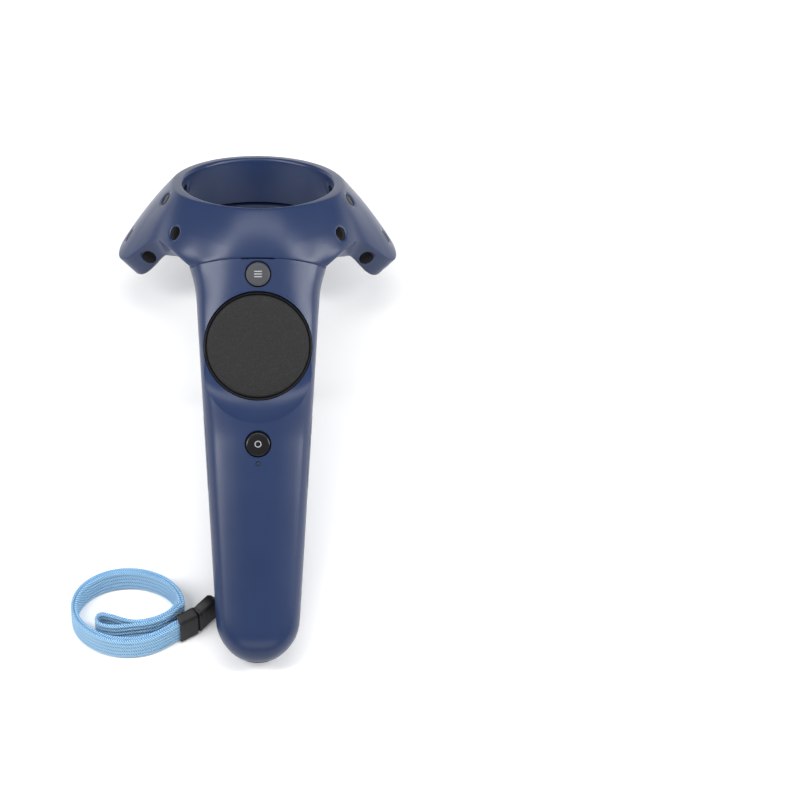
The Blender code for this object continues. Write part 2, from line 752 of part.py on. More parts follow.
def trackpad(frame):
    axis = pad_axis()
    turned("trackpad_cap", PAD_CENTRE, axis,
           ((PAD_RADIUS, -2.2), (PAD_RADIUS, -0.7), (PAD_RADIUS - 0.25, -0.25), (PAD_RADIUS - 0.8, 0.0)),
           CHARCOAL, count=44, origin=PAD_CENTRE, parent=frame)
    bezel = cylinder("trackpad_bezel", PAD_CENTRE - axis * 5.4, PAD_CENTRE - axis * 0.15,
                     BEZEL_RADIUS, BLACK, count=44, parent=frame)
    cut(bezel, cylinder("cut_bezel_cup", PAD_CENTRE - axis * 4.6, PAD_CENTRE + axis * 3,
                        PAD_RADIUS + 0.3, count=44, parent=frame))
    cut(bezel, cylinder("cut_bezel_floor", PAD_CENTRE - axis * 9, PAD_CENTRE + axis * 3, 7.0,
                        count=24, parent=frame))
    cylinder("trackpad_board", PAD_CENTRE - axis * 3.3, PAD_CENTRE - axis * 2.5, 19.0, BOARD,
             count=32, origin=PAD_CENTRE, parent=frame)
    cylinder("trackpad_switch", PAD_CENTRE - axis * 6.9, PAD_CENTRE - axis * 4.1, 3.0, GREY,
             count=16, parent=frame)


def round_button(name, z, look, frame):
    """A button whose face stands just proud of the handle, with a retaining flange and a stem."""
    face = handle_front_y(0.0, z)
    inner = face + WALL
    made = turned(name, (0, face, z), (0, -1, 0),
           ((1.8, face + 6.3), (1.8, face - inner - 1.1), (5.7, face - inner - 1.09), (5.7, face - inner - GAP),
            (BUTTON_RADIUS, face - inner - GAP + 0.01), (BUTTON_RADIUS, 0.1), (BUTTON_RADIUS - 0.45, 0.45)),
           look, count=28, origin=(0, face, z), parent=frame)
    word = name.split("_")[0]
    block(f"{word}_switch", (-2.2, -5.6, z - 2.2), (2.2, BOARD_FRONT_Y - GAP, z + 2.2), GREY, parent=frame)
    return made


def grip(side, frame):
    """A side plate cut out of a slightly swollen handle, with a stem towards its switch."""
    word = "right" if side > 0 else "left"
    low, high = sorted((side * 13.0, side * 32.0))
    outline = stadium(GRIP_HALF_LENGTH, GRIP_HALF_HEIGHT, 0.4, GRIP_Z)
    made = prism(f"grip_button_{word}", outline, low, high, BLUE,
                 origin=(side * 21.0, 0.4, GRIP_Z), parent=frame)
    boolean(made, as_cutter(handle_solid(f"grip_skin_{word}", -GRIP_PROUD, 0.0, frame)), "INTERSECT")
    cut(made, handle_solid(f"cut_grip_back_{word}", 1.9, 2.0, frame))
    add(made, cylinder(f"grip_stem_{word}", (side * 20.2, 0.4, GRIP_Z), (side * 15.6, 0.4, GRIP_Z),
                       1.6, count=12, parent=frame))
    low, high = sorted((side * 11.8, side * 14.4))
    block(f"grip_switch_{word}", (low, -2.4, GRIP_Z - 3.0), (high, 3.0, GRIP_Z + 3.0), GREY, parent=frame)


TRIGGER_OUTLINE = (
    (12.0, 150.4), (16.4, 149.6), (20.0, 146.0), (21.9, 140.5), (22.5, 134.5), (22.9, 129.0), (24.3, 122.8),
    (27.2, 117.2), (29.6, 114.2), (29.9, 112.9), (28.6, 112.3), (25.4, 114.4), (21.4, 118.4), (18.2, 122.4),
    (14.6, 124.6), (14.6, 132.4), (11.3, 136.0), (11.3, 142.0), (5.6, 143.8), (4.7, 147.0), (5.6, 149.8),
    (8.4, 150.6),
)


def trigger(frame):
    made = prism("trigger", TRIGGER_OUTLINE, -TRIGGER_HALF_WIDTH, TRIGGER_HALF_WIDTH, BLACK,
                 origin=PIVOT, parent=frame)
    rounding = made.modifiers.new("rounding", "BEVEL")
    rounding.width = 1.0 * MM
    rounding.segments = 2
    rounding.limit_method = "ANGLE"
    rounding.angle_limit = math.radians(60)
    cut(made, cylinder("cut_trigger_bore", (-20, PIVOT.y, PIVOT.z), (20, PIVOT.y, PIVOT.z), 1.62, parent=frame))
    cylinder("trigger_pin", (-13.9, PIVOT.y, PIVOT.z), (13.9, PIVOT.y, PIVOT.z), 1.5, STEEL, parent=frame)
    cylinder("trigger_magnet", (0, 9.5, 139.0), (0, 11.0, 139.0), 2.0, STEEL,
             count=16, origin=PIVOT, parent=frame)
    block("hall_sensor", (-1.6, -0.5, 137.6), (1.6, 0.6, 140.4), BLACK, parent=frame)
    block("trigger_switch", (-3.0, -0.5, 118.4), (3.0, 7.2, 123.2), GREY, parent=frame)
    return made


def head_electronics(frame):
    """A curved board low in the far lobe, and the radio's antenna behind the handle's front."""
    rings = []
    for degrees in range(-14, 15, 4):
        angle, side = 180.0 - abs(degrees), 1 if degrees >= 0 else -1
        rings.append([from_ring(angle, side, radius, height)
                      for radius, height in ((40.4, -24.3), (43.9, -24.3), (43.9, -23.5), (40.4, -23.5))])
    loft("head_board", rings, BOARD, parent=frame, smooth=False)
    block("antenna", (-6.0, -8.3, 58.0), (6.0, -7.8, 72.0), BRASS, parent=frame)


def helix(name, centre, radius, wire, length, turns, frame):
    """A spring along Y as a curve with filled ends."""
    curve = bpy.data.curves.new(name, "CURVE")
    curve.dimensions = "3D"
    curve.bevel_depth = wire * MM
    curve.bevel_resolution = 1
    curve.use_fill_caps = True
    path = curve.splines.new("POLY")
    steps = turns * 9
    path.points.add(steps)
    for k in range(steps + 1):
        angle = math.tau * turns * k / steps
        spot = Vector((math.cos(angle) * radius, length * k / steps, math.sin(angle) * radius)) * MM
        path.points[k].co = (*spot, 1.0)
    made = bpy.data.objects.new(name, curve)
    made.location = Vector(centre) * MM
    made.parent = frame
    bpy.context.scene.collection.objects.link(made)
    curve.materials.append(material(name + "_look", *STEEL))
    return made


# ---------------------------------------------------------------- strap


def smooth_route(spots, steps):
    """A Catmull-Rom curve through the spots, with that many steps between two of them."""
    ends = [spots[0] * 2 - spots[1], *spots, spots[-1] * 2 - spots[-2]]
    route = []
    for a, b, c, d in zip(ends, ends[1:], ends[2:], ends[3:]):
        for k in range(steps):
            t = k / steps
            route.append(0.5 * (2 * b + (c - a) * t + (2 * a - 5 * b + 4 * c - d) * t**2
                                + (3 * b - a - 3 * c + d) * t**3))
    return [*route, spots[-1]]


def strap_route():
    """The doubled webbing's lower mid-line: out of the sleeve, once round the coil and back inside it."""
    middle, half = Vector(COIL_CENTRE), Vector(COIL_HALF_SIZE)
    start, end = Vector(SLEEVE_START), Vector(SLEEVE_END)
    along = (end - start).normalized()
    spots = [start + along * 2.5, start - along * 0.5]
    for degrees in (-62, -90, -118, -146, -172, 162, 135, 108, 80, 52, 26, 4):
        turn = math.radians(degrees)
        spots.append(middle + Vector((math.cos(turn) * half.x, math.sin(turn) * half.y)))
    for across, down in ((20.2, 0.2), (16.8, -3.2), (11.6, -5.8), (5.0, -7.2), (-2.0, -7.2), (-8.0, -6.2),
                         (-12.6, -5.0)):
        spots.append(middle + Vector((across, down)))
    return [Vector((spot.x, spot.y, 0.0)) for spot in smooth_route(spots, 3)]


def upright(spot, across, height):
    """The point beside a spot on the table, at that height up the leaning webbing."""
    return spot + across + Vector((0.0, math.sin(WEBBING_TILT), math.cos(WEBBING_TILT))) * height


def leaning_bar(name, route, sizes, look):
    """A bar of leaning rectangles along a route; sizes lists (thickness, bottom, top) for each point."""
    rings = []
    for k, (spot, (thickness, bottom, top)) in enumerate(zip(route, sizes)):
        forward = (route[min(k + 1, len(route) - 1)] - route[max(k - 1, 0)]).normalized()
        across = Vector((-forward.y, forward.x, 0.0)) * thickness / 2
        rings.append([upright(spot, -across, bottom), upright(spot, across, bottom),
                      upright(spot, across, top), upright(spot, -across, top)])
    return loft(name, rings, look, smooth=False)


def string_route():
    """From the connector round the bar inside the handle and back, in the controller's axes."""
    lean = math.radians(LEAN_DEG)
    nose = Vector(CONNECTOR_END).to_3d()
    forward = (nose - Vector(SLEEVE_END).to_3d()).normalized()
    across = Vector((-forward.y, forward.x, 0.0))
    strands = []
    for side in (1, -1):
        leave = upright(nose + forward * 3.0, across * side * 1.0, 2.3)
        out = nose + forward * 6.5 + across * side * 1.2 + Vector((0.0, 0.0, STRING_HEIGHT + 0.5))
        level = BAR_Z + side * 2.1
        under = -1.0 * side - 3.6
        drop = (level * math.sin(lean) + LIFT - STRING_HEIGHT) / math.cos(lean)
        strands.append((leave, out, level, under, drop))

    def to_controller(point):
        y, z = point.y - FORWARD, point.z - LIFT
        return Vector((point.x, y * math.sin(lean) - z * math.cos(lean),
                       y * math.cos(lean) + z * math.sin(lean)))

    leave, out, level, under, drop = strands[0]
    first = [to_controller(leave), to_controller(out), Vector((under - 1.6, drop, level + 0.3)),
             Vector((under + 1.6, drop - 0.9, level)), Vector((-1.0, BAR_Y + 1.4, level))]
    turn = []
    for k in range(7):
        angle = math.pi * k / 6
        turn.append(Vector((-1.0 + k / 3, BAR_Y - 2.1 * math.sin(angle), BAR_Z + 2.1 * math.cos(angle))))
    leave, out, level, under, drop = strands[1]
    second = [Vector((1.0, BAR_Y + 1.4, level)), Vector((-0.4, drop - 1.1, level)),
              Vector((-3.6, drop, level + 0.2)),
              to_controller(out), to_controller(leave)]
    return smooth_route([*first, *turn, *second], 3)


def tube(name, route, radius, look, parent):
    """A round cord along a route, as a curve with filled ends."""
    curve = bpy.data.curves.new(name, "CURVE")
    curve.dimensions = "3D"
    curve.bevel_depth = radius * MM
    curve.bevel_resolution = 1
    curve.use_fill_caps = True
    path = curve.splines.new("POLY")
    path.points.add(len(route) - 1)
    for point, spot in zip(path.points, route):
        point.co = (*(spot * MM), 1.0)
    made = bpy.data.objects.new(name, curve)
    made.parent = parent
    bpy.context.scene.collection.objects.link(made)
    curve.materials.append(material(name + "_look", *look))
    return made


def strap(frame):
    route = strap_route()
    width, thick = WEBBING_WIDTH, WEBBING_THICKNESS
    leaning_bar("strap_webbing", route, [(thick, 0.1, width)] * len(route), SKY)
    start, end = (Vector(spot).to_3d() for spot in (SLEEVE_START, SLEEVE_END))
    sleeve = leaning_bar("strap_sleeve", [start, end], [(thick + 2.4, 0.0, width + 1.0)] * 2, BLACK)
    along = (end - start).normalized()
    tip = Vector(CONNECTOR_END).to_3d()
    forward = (tip - end).normalized()
    spots = [end + forward * (GAP + 0.8), tip - forward * 1.0, tip + forward * 3.4]
    full = (thick + 2.2, 0.0, width + 0.2)
    connector = leaning_bar("strap_connector", spots, [full, full, (thick + 1.4, 0.4, 4.6)], BLACK)
    for obj in (sleeve, connector):
        rounding = obj.modifiers.new("rounding", "BEVEL")
        rounding.width = 0.5 * MM
        rounding.segments = 2
        rounding.limit_method = "ANGLE"
        rounding.angle_limit = math.radians(50)
    mouth = [start - along * 2.0, start + along * 3.2]
    cut(sleeve, leaning_bar("cut_sleeve_mouth", mouth, [(thick + 2 * GAP, -1.0, width + GAP)] * 2, None))
    pocket = [tip + forward * 2.2, tip + forward * 6.0]
    cut(connector, leaning_bar("cut_string_pocket", pocket, [(4.4, 0.9, 3.8)] * 2, None))
    tube("string_loop", string_route(), STRING_RADIUS, BLACK, frame)


def rest_cut(*parts):
    """Cuts the lowest points flat, at the table."""
    floor = block("cut_table", (-200, -300, -40), (200, 300, 0))
    for part in parts:
        cut(part, floor)


def lay_down():
    frame = bpy.data.objects.new("controller_frame", None)
    bpy.context.scene.collection.objects.link(frame)
    frame.rotation_euler = (-math.radians(90.0 - LEAN_DEG), 0.0, 0.0)
    frame.location = (0.0, FORWARD * MM, LIFT * MM)
    return frame


def main():
    clear_scene()
    frame = lay_down()
    front, back = handle_shells(frame)
    cover, base, carrier = head_shells(frame)
    head_screws(frame, cover, base, carrier)
    handle_screws(frame)
    chassis(frame)
    boards_and_battery(frame)
    trackpad(frame)
    menu = round_button("menu_button", MENU_Z, GREY, frame)
    cut(menu, block("cut_menu_flange", (-8.0, handle_front_y(0.0, MENU_Z) + WALL, MENU_Z - 8.0),
                    (8.0, -5.0, MENU_Z - 3.9),
                    parent=frame))
    round_button("system_button", SYSTEM_Z, BLACK, frame)
    light_face = handle_front_y(0.0, LIGHT_Z)
    cylinder("status_light_pipe", (0, light_face + 0.1, LIGHT_Z), (0, BOARD_FRONT_Y - GAP, LIGHT_Z), 0.7,
             ((0.5, 0.6, 0.5), 0.3), count=12, parent=frame)
    grip(1, frame)
    grip(-1, frame)
    trigger(frame)
    head_electronics(frame)
    helix("trigger_spring", (0, -0.1, SPRING_Z), 2.6, 0.32, 14.0, 5, frame)
    cylinder("lanyard_bar", (-6.0, BAR_Y, BAR_Z), (6.0, BAR_Y, BAR_Z), BAR_RADIUS, STEEL, count=16, parent=frame)
    strap(frame)
    rest_cut(base, back)


main()
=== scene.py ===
"""Looks for the VR motion controller: a smooth head and handle with sensor windows, a textured trackpad,
buttons, a trigger and a braided wrist strap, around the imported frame.

Shapes are worked out in millimetres in the controller's own axes: X to the right, Y from the trackpad
side to the trigger side, Z from the handle's end to the head. TO_ROW takes them to the row frame."""

import json
from math import asin, atan2, copysign, cos, degrees, hypot, pi, radians, sin, sqrt, tau

import bmesh
import bpy
from mathutils import Matrix, Vector


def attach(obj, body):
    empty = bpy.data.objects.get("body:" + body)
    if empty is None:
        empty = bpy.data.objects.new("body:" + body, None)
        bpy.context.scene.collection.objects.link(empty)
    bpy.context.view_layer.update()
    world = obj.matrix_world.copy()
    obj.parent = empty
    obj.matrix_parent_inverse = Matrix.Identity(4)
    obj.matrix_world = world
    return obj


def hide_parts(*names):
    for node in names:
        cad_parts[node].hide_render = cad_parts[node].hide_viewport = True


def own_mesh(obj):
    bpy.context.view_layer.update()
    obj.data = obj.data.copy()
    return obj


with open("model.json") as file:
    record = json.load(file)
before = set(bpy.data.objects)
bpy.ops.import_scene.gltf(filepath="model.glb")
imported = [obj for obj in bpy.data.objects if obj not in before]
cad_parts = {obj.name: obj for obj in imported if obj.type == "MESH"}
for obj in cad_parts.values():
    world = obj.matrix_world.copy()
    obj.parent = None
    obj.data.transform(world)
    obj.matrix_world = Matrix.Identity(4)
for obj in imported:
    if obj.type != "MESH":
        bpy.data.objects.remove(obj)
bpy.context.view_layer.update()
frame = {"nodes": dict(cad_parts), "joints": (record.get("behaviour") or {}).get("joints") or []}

MM = 0.001
GAP = 0.3
ROOT = "controller"
FRONT = (0.0, -1.0, 0.0)

# Camera and floor. Distances are in metres, the aim is in the controller's axes.
VIEW_TO_HANDLE = radians(84.0)
VIEW_TURN = radians(3.26394)
VIEW_DISTANCE = 1.0
VIEW_AIM = Vector((0.0, -14.7, 104.9))
SENSOR_WIDTH = 36.0
LENS = 112.05
FLOOR_HALF = 3.0
FLOOR_LEVEL = -0.0003

# Handle.
WALL = 2.2
TIP_ROUND = 17.0
TIP_DEPTH_ROUND = 12.0
SPLIT_Y = 1.5
HANDLE_TOP = 169.0
NECK_Z = 160.6
SKIN_SIDES = 176
CAVITY_SIDES = 40

# Head: a ring about an axis that is tilted towards the trackpad side.
RING_CENTRE = Vector((0.0, 14.3, 199.5))
RING_TILT = radians(30.0)
HOLE_RADIUS = 31.2
HEAD_WALL = 2.0
SEAM_TOP_Z = 162.7
SEAM_DROP = 2.6
SEAM_HALF_WIDTH = 26.7
WINDOW_RADIUS = {"slope": 2.9, "wall": 2.7, "ear": 3.0, "bottom": 2.6}
WINDOW_RECESS = 0.5
EAR_FACE = (70.0, 82.0)

# Trackpad and buttons.
PAD_CENTRE = Vector((0.0, -12.1, 127.0))
PAD_TILT = radians(6.4)
PAD_RADIUS = 20.9
BEZEL_RADIUS = 21.7
THUMB_STOP_SHIFT = 9.8
BUTTON_RADIUS = 4.85
BUTTON_HOLE_RADIUS = 5.3
MENU_Z = 155.8
SYSTEM_Z = 87.2
LIGHT_Z = 79.4

# Trigger and grips.
PIVOT = Vector((0.0, 8.0, 147.0))
TRIGGER_HALF_WIDTH = 10.5
SPRING_SEAT = Vector((0.0, -0.1, 128.5))
SPRING_LENGTH = 14.0
SPRING_RADIUS = 2.6
SPRING_WIRE = 0.32
SPRING_TURNS = 5
GRIP_Y = 0.4
GRIP_Z = 85.0
GRIP_HALF_LENGTH = 15.0
GRIP_HALF_HEIGHT = 5.2
GRIP_PROUD = 0.06
GRIP_GAP = 0.2
SCREW_PLACES = ((14.3, 30.0), (18.2, 108.0))

# The bar that the strap's string goes round.
BAR_Y = 7.6
BAR_Z = 24.0

# Wrist strap, in millimetres on the table: doubled webbing that stands on edge and leans over.
WEBBING_WIDTH = 10.4
WEBBING_THICKNESS = 2.6
WEBBING_TILT = radians(22.0)
LAYER_THICKNESS = 1.22
WEBBING_RIBS = 5
COIL_CENTRE = (-52.5, -89.9)
COIL_HALF_SIZE = (21.7, 14.7)
INNER_TURN = (
    (20.2, 0.2), (16.8, -3.2), (11.6, -5.8), (5.0, -7.2), (-2.0, -7.2), (-8.0, -6.2), (-12.6, -5.0),
)
SLEEVE_START = (-32.2, -97.4)
SLEEVE_END = (-25.2, -93.6)
CONNECTOR_END = (-18.2, -86.8)
STRING_RADIUS = 0.8
STRING_HEIGHT = 1.1


def placement():
    """The controller's axes in the row frame, from the menu button's and the trigger's joints."""
    joints = {joint["name"]: joint for joint in frame["joints"]}
    down = Vector(joints["menu_press"]["axis"]).normalized()
    along = Vector((1.0, 0.0, 0.0)).cross(down)
    turn = Matrix(((1.0, 0.0, 0.0), down, along)).transposed()
    origin = Vector(joints["trigger_pull"]["pos_m"]) - turn @ PIVOT * MM
    return Matrix.Translation(origin) @ turn.to_4x4() @ Matrix.Scale(MM, 4)


TO_ROW = placement()
ON_TABLE = Matrix.Scale(MM, 4)
LEAN = asin((TO_ROW.to_3x3() @ Vector((0.0, 0.0, 1.0))).normalized().z)


# ---- camera, light and floor ----


def linked(made):
    bpy.context.scene.collection.objects.link(made)
    return made


def camera():
    """The photograph's view, down onto the trackpad side, with the controller left of centre."""
    elevation = VIEW_TO_HANDLE - LEAN
    right = Vector((1.0, 0.0, 0.0))
    level = Vector((0.0, cos(elevation), -sin(elevation)))
    up = Vector((0.0, sin(elevation), cos(elevation)))
    forward = level * cos(VIEW_TURN) + right * sin(VIEW_TURN)
    across = right * cos(VIEW_TURN) - level * sin(VIEW_TURN)
    data = bpy.data.cameras.new("camera")
    data.sensor_width = SENSOR_WIDTH
    data.lens = LENS
    data.clip_start = 0.01
    made = linked(bpy.data.objects.new("camera", data))
    turn = Matrix((across, up, -forward)).transposed().to_4x4()
    made.matrix_world = Matrix.Translation(TO_ROW @ VIEW_AIM - level * VIEW_DISTANCE) @ turn
    bpy.context.scene.camera = made


def area_light(name, place, size, power, aim=(0.0, 0.0, 0.03)):
    data = bpy.data.lights.new(name, "AREA")
    data.shape = "RECTANGLE"
    data.size, data.size_y = size
    data.energy = power
    made = linked(bpy.data.objects.new(name, data))
    made.location = place
    made.rotation_euler = (Vector(aim) - Vector(place)).to_track_quat("-Z", "Y").to_euler()


def studio():
    world = bpy.data.worlds.new("studio")
    world.use_nodes = True
    set_inputs(world.node_tree.nodes["Background"], {"Color": (0.93, 0.95, 1.0, 1.0), "Strength": 0.26})
    bpy.context.scene.world = world
    bpy.context.scene.view_settings.view_transform = "Standard"
    area_light("softbox_left", (-0.62, -0.05, 0.62), (0.16, 0.9), 6.8)
    area_light("softbox_right", (0.62, 0.0, 0.50), (0.14, 0.9), 5.8)
    area_light("softbox_top", (0.0, 0.20, 0.85), (0.62, 0.26), 2.6, (0.0, 0.08, 0.05))
    area_light("softbox_front", (0.0, -0.95, 0.45), (1.1, 0.4), 2.6)


def floor():
    mesh = bpy.data.meshes.new("floor")
    signs = ((-1, -1), (1, -1), (1, 1), (-1, 1))
    mesh.from_pydata([(x * FLOOR_HALF, y * FLOOR_HALF, FLOOR_LEVEL) for x, y in signs], [], [(0, 1, 2, 3)])
    look, shader = new_material("floor_paper")
    tint(shader, (0.92, 0.92, 0.92), 0.01, 6.0)
    white = (1.0, 1.0, 1.0, 1.0)
    set_inputs(shader, {"Roughness": 0.9, "Emission Color": white, "Emission Strength": 0.02})
    mesh.materials.append(look)
    linked(bpy.data.objects.new("floor", mesh))


# ---- materials ----


def set_inputs(node, values):
    for word, value in values.items():
        node.inputs[word].default_value = value


def new_material(name):
    look = bpy.data.materials.new(name)
    look.use_nodes = True
    return look, look.node_tree.nodes["Principled BSDF"]


def new_node(shader, kind, values=None):
    """A node of that kind in the shader's tree, with the named inputs set."""
    made = shader.id_data.nodes.new("ShaderNode" + kind)
    set_inputs(made, values or {})
    return made


def join(source, target):
    source.id_data.links.new(source, target)


def texture(shader, kind, values):
    """A texture node in the object's own coordinates."""
    made = new_node(shader, "Tex" + kind, values)
    join(new_node(shader, "TexCoord").outputs["Object"], made.inputs["Vector"])
    return made


def noise(shader, scale, detail=2.0):
    return texture(shader, "Noise", {"Scale": scale, "Detail": detail}).outputs["Fac"]


def ramp(shader, source, stops):
    """stops lists (position, colour)."""
    made = new_node(shader, "ValToRGB")
    elements = made.color_ramp.elements
    while len(elements) < len(stops):
        elements.new(0.5)
    for element, (position, colour) in zip(elements, stops):
        element.position = position
        element.color = (*colour, 1.0)
    join(source, made.inputs["Fac"])
    return made.outputs["Color"]


def rough_by(shader, source, low, high):
    """The roughness runs from low to high as the source runs from 0 to 1."""
    made = new_node(shader, "MapRange", {"To Min": low, "To Max": high})
    join(source, made.inputs["Value"])
    join(made.outputs["Result"], shader.inputs["Roughness"])


def tint(shader, colour, spread, scale):
    """A base colour that wanders a little, as moulded plastic does."""
    low = tuple(c * (1 - spread) for c in colour)
    high = tuple(min(1.0, c * (1 + spread)) for c in colour)
    join(ramp(shader, noise(shader, scale, 3.0), ((0.3, low), (0.7, high))), shader.inputs["Base Color"])


def bump(shader, source, strength, distance):
    made = new_node(shader, "Bump", {"Strength": strength, "Distance": distance})
    join(source, made.inputs["Height"])
    join(made.outputs["Normal"], shader.inputs["Normal"])


def plastic(name, colour, roughness, grain=1400.0, grain_depth=0.08, spread=0.06, gloss=0.5):
    """Moulded plastic: wandering colour, patches of different sheen and a fine moulded grain."""
    look, shader = new_material(name)
    tint(shader, colour, spread, 35.0)
    rough_by(shader, noise(shader, 90.0, 4.0), roughness - 0.05, roughness + 0.05)
    set_inputs(shader, {"Specular IOR Level": gloss, "IOR": 1.4})
    bump(shader, noise(shader, grain), grain_depth, 0.0001)
    return look


def steel(name, colour, roughness):
    look, shader = new_material(name)
    tint(shader, colour, 0.08, 120.0)
    set_inputs(shader, {"Metallic": 1.0})
    scratches = noise(shader, 700.0, 5.0)
    rough_by(shader, scratches, roughness - 0.08, roughness + 0.1)
    bump(shader, scratches, 0.1, 0.00005)
    return look


def trackpad_look():
    """Charcoal with a fine leathery grain."""
    look, shader = new_material("trackpad_charcoal")
    cells = texture(shader, "Voronoi", {"Scale": 2100.0})
    source = noise(shader, 1500.0, 3.0)
    stops = ((0.3, (0.008, 0.008, 0.0085)), (0.62, (0.016, 0.0155, 0.0165)), (0.85, (0.036, 0.035, 0.037)))
    join(ramp(shader, source, stops), shader.inputs["Base Color"])
    rough_by(shader, source, 0.62, 0.78)
    set_inputs(shader, {"Specular IOR Level": 0.3})
    bump(shader, cells.outputs["Distance"], 0.55, 0.00025)
    return look


def circuit_look():
    """Green solder mask with paler tracks."""
    look, shader = new_material("circuit_green")
    bricks = texture(shader, "Brick", {
        "Scale": 300.0, "Color1": (0.012, 0.10, 0.035, 1.0), "Color2": (0.016, 0.13, 0.05, 1.0),
        "Mortar": (0.05, 0.24, 0.10, 1.0)})
    join(bricks.outputs["Color"], shader.inputs["Base Color"])
    set_inputs(shader, {"Roughness": 0.35})
    return look


def webbing_look():
    """Braid: chevron stitches in columns along the band, with painted shade in the grooves and painted
    highlight on the crests. The mesh's UV holds (mm along, mm across).
    """
    look, shader = new_material("strap_blue")
    place = new_node(shader, "UVMap")
    place.uv_map = "UVMap"
    split = new_node(shader, "SeparateXYZ")
    join(place.outputs["UV"], split.inputs["Vector"])

    def maths(operation, first, second):
        made = new_node(shader, "Math")
        made.operation = operation
        for socket, value in zip(made.inputs, (first, second)):
            if isinstance(value, float):
                socket.default_value = value
            else:
                join(value, socket)
        return made.outputs["Value"]

    rib = maths("PINGPONG", split.outputs["Y"], WEBBING_WIDTH / WEBBING_RIBS / 2)
    slanted = maths("ADD", split.outputs["X"], maths("MULTIPLY", rib, 1.1))
    stitch = maths("PINGPONG", slanted, 0.45)
    height = maths("ADD", maths("MULTIPLY", stitch, 1.6), maths("MULTIPLY", rib, 0.20))
    shade = maths("ADD", height, maths("MULTIPLY", noise(shader, 2600.0, 3.0), 0.22))
    # The colour follows the stitches' relief: the dark stop is painted shade in the grooves and the pale
    # stop is painted highlight on the crests.
    stops = ((0.16, (0.010, 0.085, 0.34)), (0.43, (0.130, 0.43, 0.84)), (0.76, (0.52, 0.82, 1.0)))
    join(ramp(shader, shade, stops), shader.inputs["Base Color"])
    set_inputs(shader, {"Roughness": 0.78, "Sheen Weight": 0.25})
    bump(shader, shade, 0.95, 0.0006)
    return look


def cord_look():
    look, shader = new_material("string_black")
    waves = texture(shader, "Wave", {"Scale": 900.0})
    waves.bands_direction = "DIAGONAL"
    stops = ((0.2, (0.006, 0.006, 0.007)), (0.8, (0.030, 0.030, 0.032)))
    join(ramp(shader, waves.outputs["Fac"], stops), shader.inputs["Base Color"])
    set_inputs(shader, {"Roughness": 0.7})
    bump(shader, waves.outputs["Fac"], 0.5, 0.0002)
    return look


def make_looks():
    deep = (0.010, 0.010, 0.011)
    return {
        "blue": plastic("satin_navy", (0.0155, 0.029, 0.080), 0.31, gloss=0.45),
        "black": plastic("satin_black", (0.011, 0.011, 0.012), 0.42, gloss=0.3),
        "gloss": plastic("gloss_black", deep, 0.18, grain=300.0, grain_depth=0.01, gloss=0.35),
        "grey": plastic("button_grey", (0.055, 0.057, 0.063), 0.45, gloss=0.25),
        "inner": plastic("inner_grey", (0.09, 0.09, 0.095), 0.5, grain=800.0, grain_depth=0.15),
        "icon": plastic("icon_grey", (0.34, 0.35, 0.37), 0.5, spread=0.03),
        "lens": plastic("lens_black", (0.004, 0.004, 0.005), 0.25, 200.0, grain_depth=0.01, gloss=0.12),
        "light": plastic("light_pipe_smoke", (0.03, 0.035, 0.05), 0.2, grain=300.0, grain_depth=0.02),
        "pad": trackpad_look(),
        "board": circuit_look(),
        "steel": steel("plated_steel", (0.55, 0.55, 0.56), 0.32),
        "brass": steel("brass", (0.60, 0.42, 0.14), 0.35),
        "foil": steel("battery_foil", (0.62, 0.63, 0.65), 0.4),
        "webbing": webbing_look(),
        "rubber": plastic("soft_black", deep, 0.45, grain=900.0, grain_depth=0.15, gloss=0.35),
        "cord": cord_look(),
    }


LOOKS = make_looks()


# ---- mesh helpers ----


def mesh_piece(name, points, faces, look, sharp=35.0):
    mesh = bpy.data.meshes.new(name)
    mesh.from_pydata([tuple(p) for p in points], [], faces)
    working = bmesh.new()
    working.from_mesh(mesh)
    bmesh.ops.recalc_face_normals(working, faces=working.faces)
    if working.calc_volume(signed=True) < 0:
        bmesh.ops.reverse_faces(working, faces=working.faces)
    working.to_mesh(mesh)
    working.free()
    mesh.materials.append(LOOKS[look])
    mesh.shade_smooth()
    mesh.set_sharp_from_angle(angle=radians(sharp))
    return linked(bpy.data.objects.new(name, mesh))


def strip_faces(rings, count, closed):
    """Quads between successive rings of count points, and either a closing strip or end caps."""
    faces = []
    for k in range(rings if closed else rings - 1):
        a = k * count
        b = (k + 1) % rings * count
        for i in range(count):
            j = (i + 1) % count
            faces.append((a + i, a + j, b + j, b + i))
    if not closed:
        faces.append(tuple(range(count)))
        faces.append(tuple(range((rings - 1) * count, rings * count)))
    return faces


def loft(name, rings, look="blue", closed=False, **options):
    points = [p for ring in rings for p in ring]
    return mesh_piece(name, points, strip_faces(len(rings), len(rings[0]), closed), look, **options)


def lofts(name, solids, look):
    """One mesh of several solids. Each is a list of rings."""
    points, faces = [], []
    for rings in solids:
        first = len(points)
        points += [p for ring in rings for p in ring]
        faces += [tuple(first + i for i in face) for face in strip_faces(len(rings), len(rings[0]), False)]
    return mesh_piece(name, points, faces, look)


def circle(centre, axis, radius, count=64):
    turn = Vector(axis).to_track_quat("Z", "Y").to_matrix()
    spots = []
    for k in range(count):
        angle = tau * (k + 0.5) / count
        spots.append(Vector(centre) + turn @ Vector((cos(angle), sin(angle), 0.0)) * radius)
    return spots


def turned_rings(centre, axis, profile, count=64):
    """The circles of a solid of revolution: profile lists (radius, distance along axis)."""
    direction = Vector(axis).normalized()
    return [circle(Vector(centre) + direction * along, axis, radius, count) for radius, along in profile]


def turned(name, centre, axis, profile, look="blue", count=64, **options):
    return loft(name, turned_rings(centre, axis, profile, count), look, **options)


def cylinder(name, start, end, radius, count=64):
    axis = Vector(end) - Vector(start)
    return turned(name, start, axis, ((radius, 0.0), (radius, axis.length)), count=count)


def block(name, low, high):
    corners = ((low[0], low[1]), (high[0], low[1]), (high[0], high[1]), (low[0], high[1]))
    return loft(name, [[(x, y, z) for x, y in corners] for z in (low[2], high[2])])


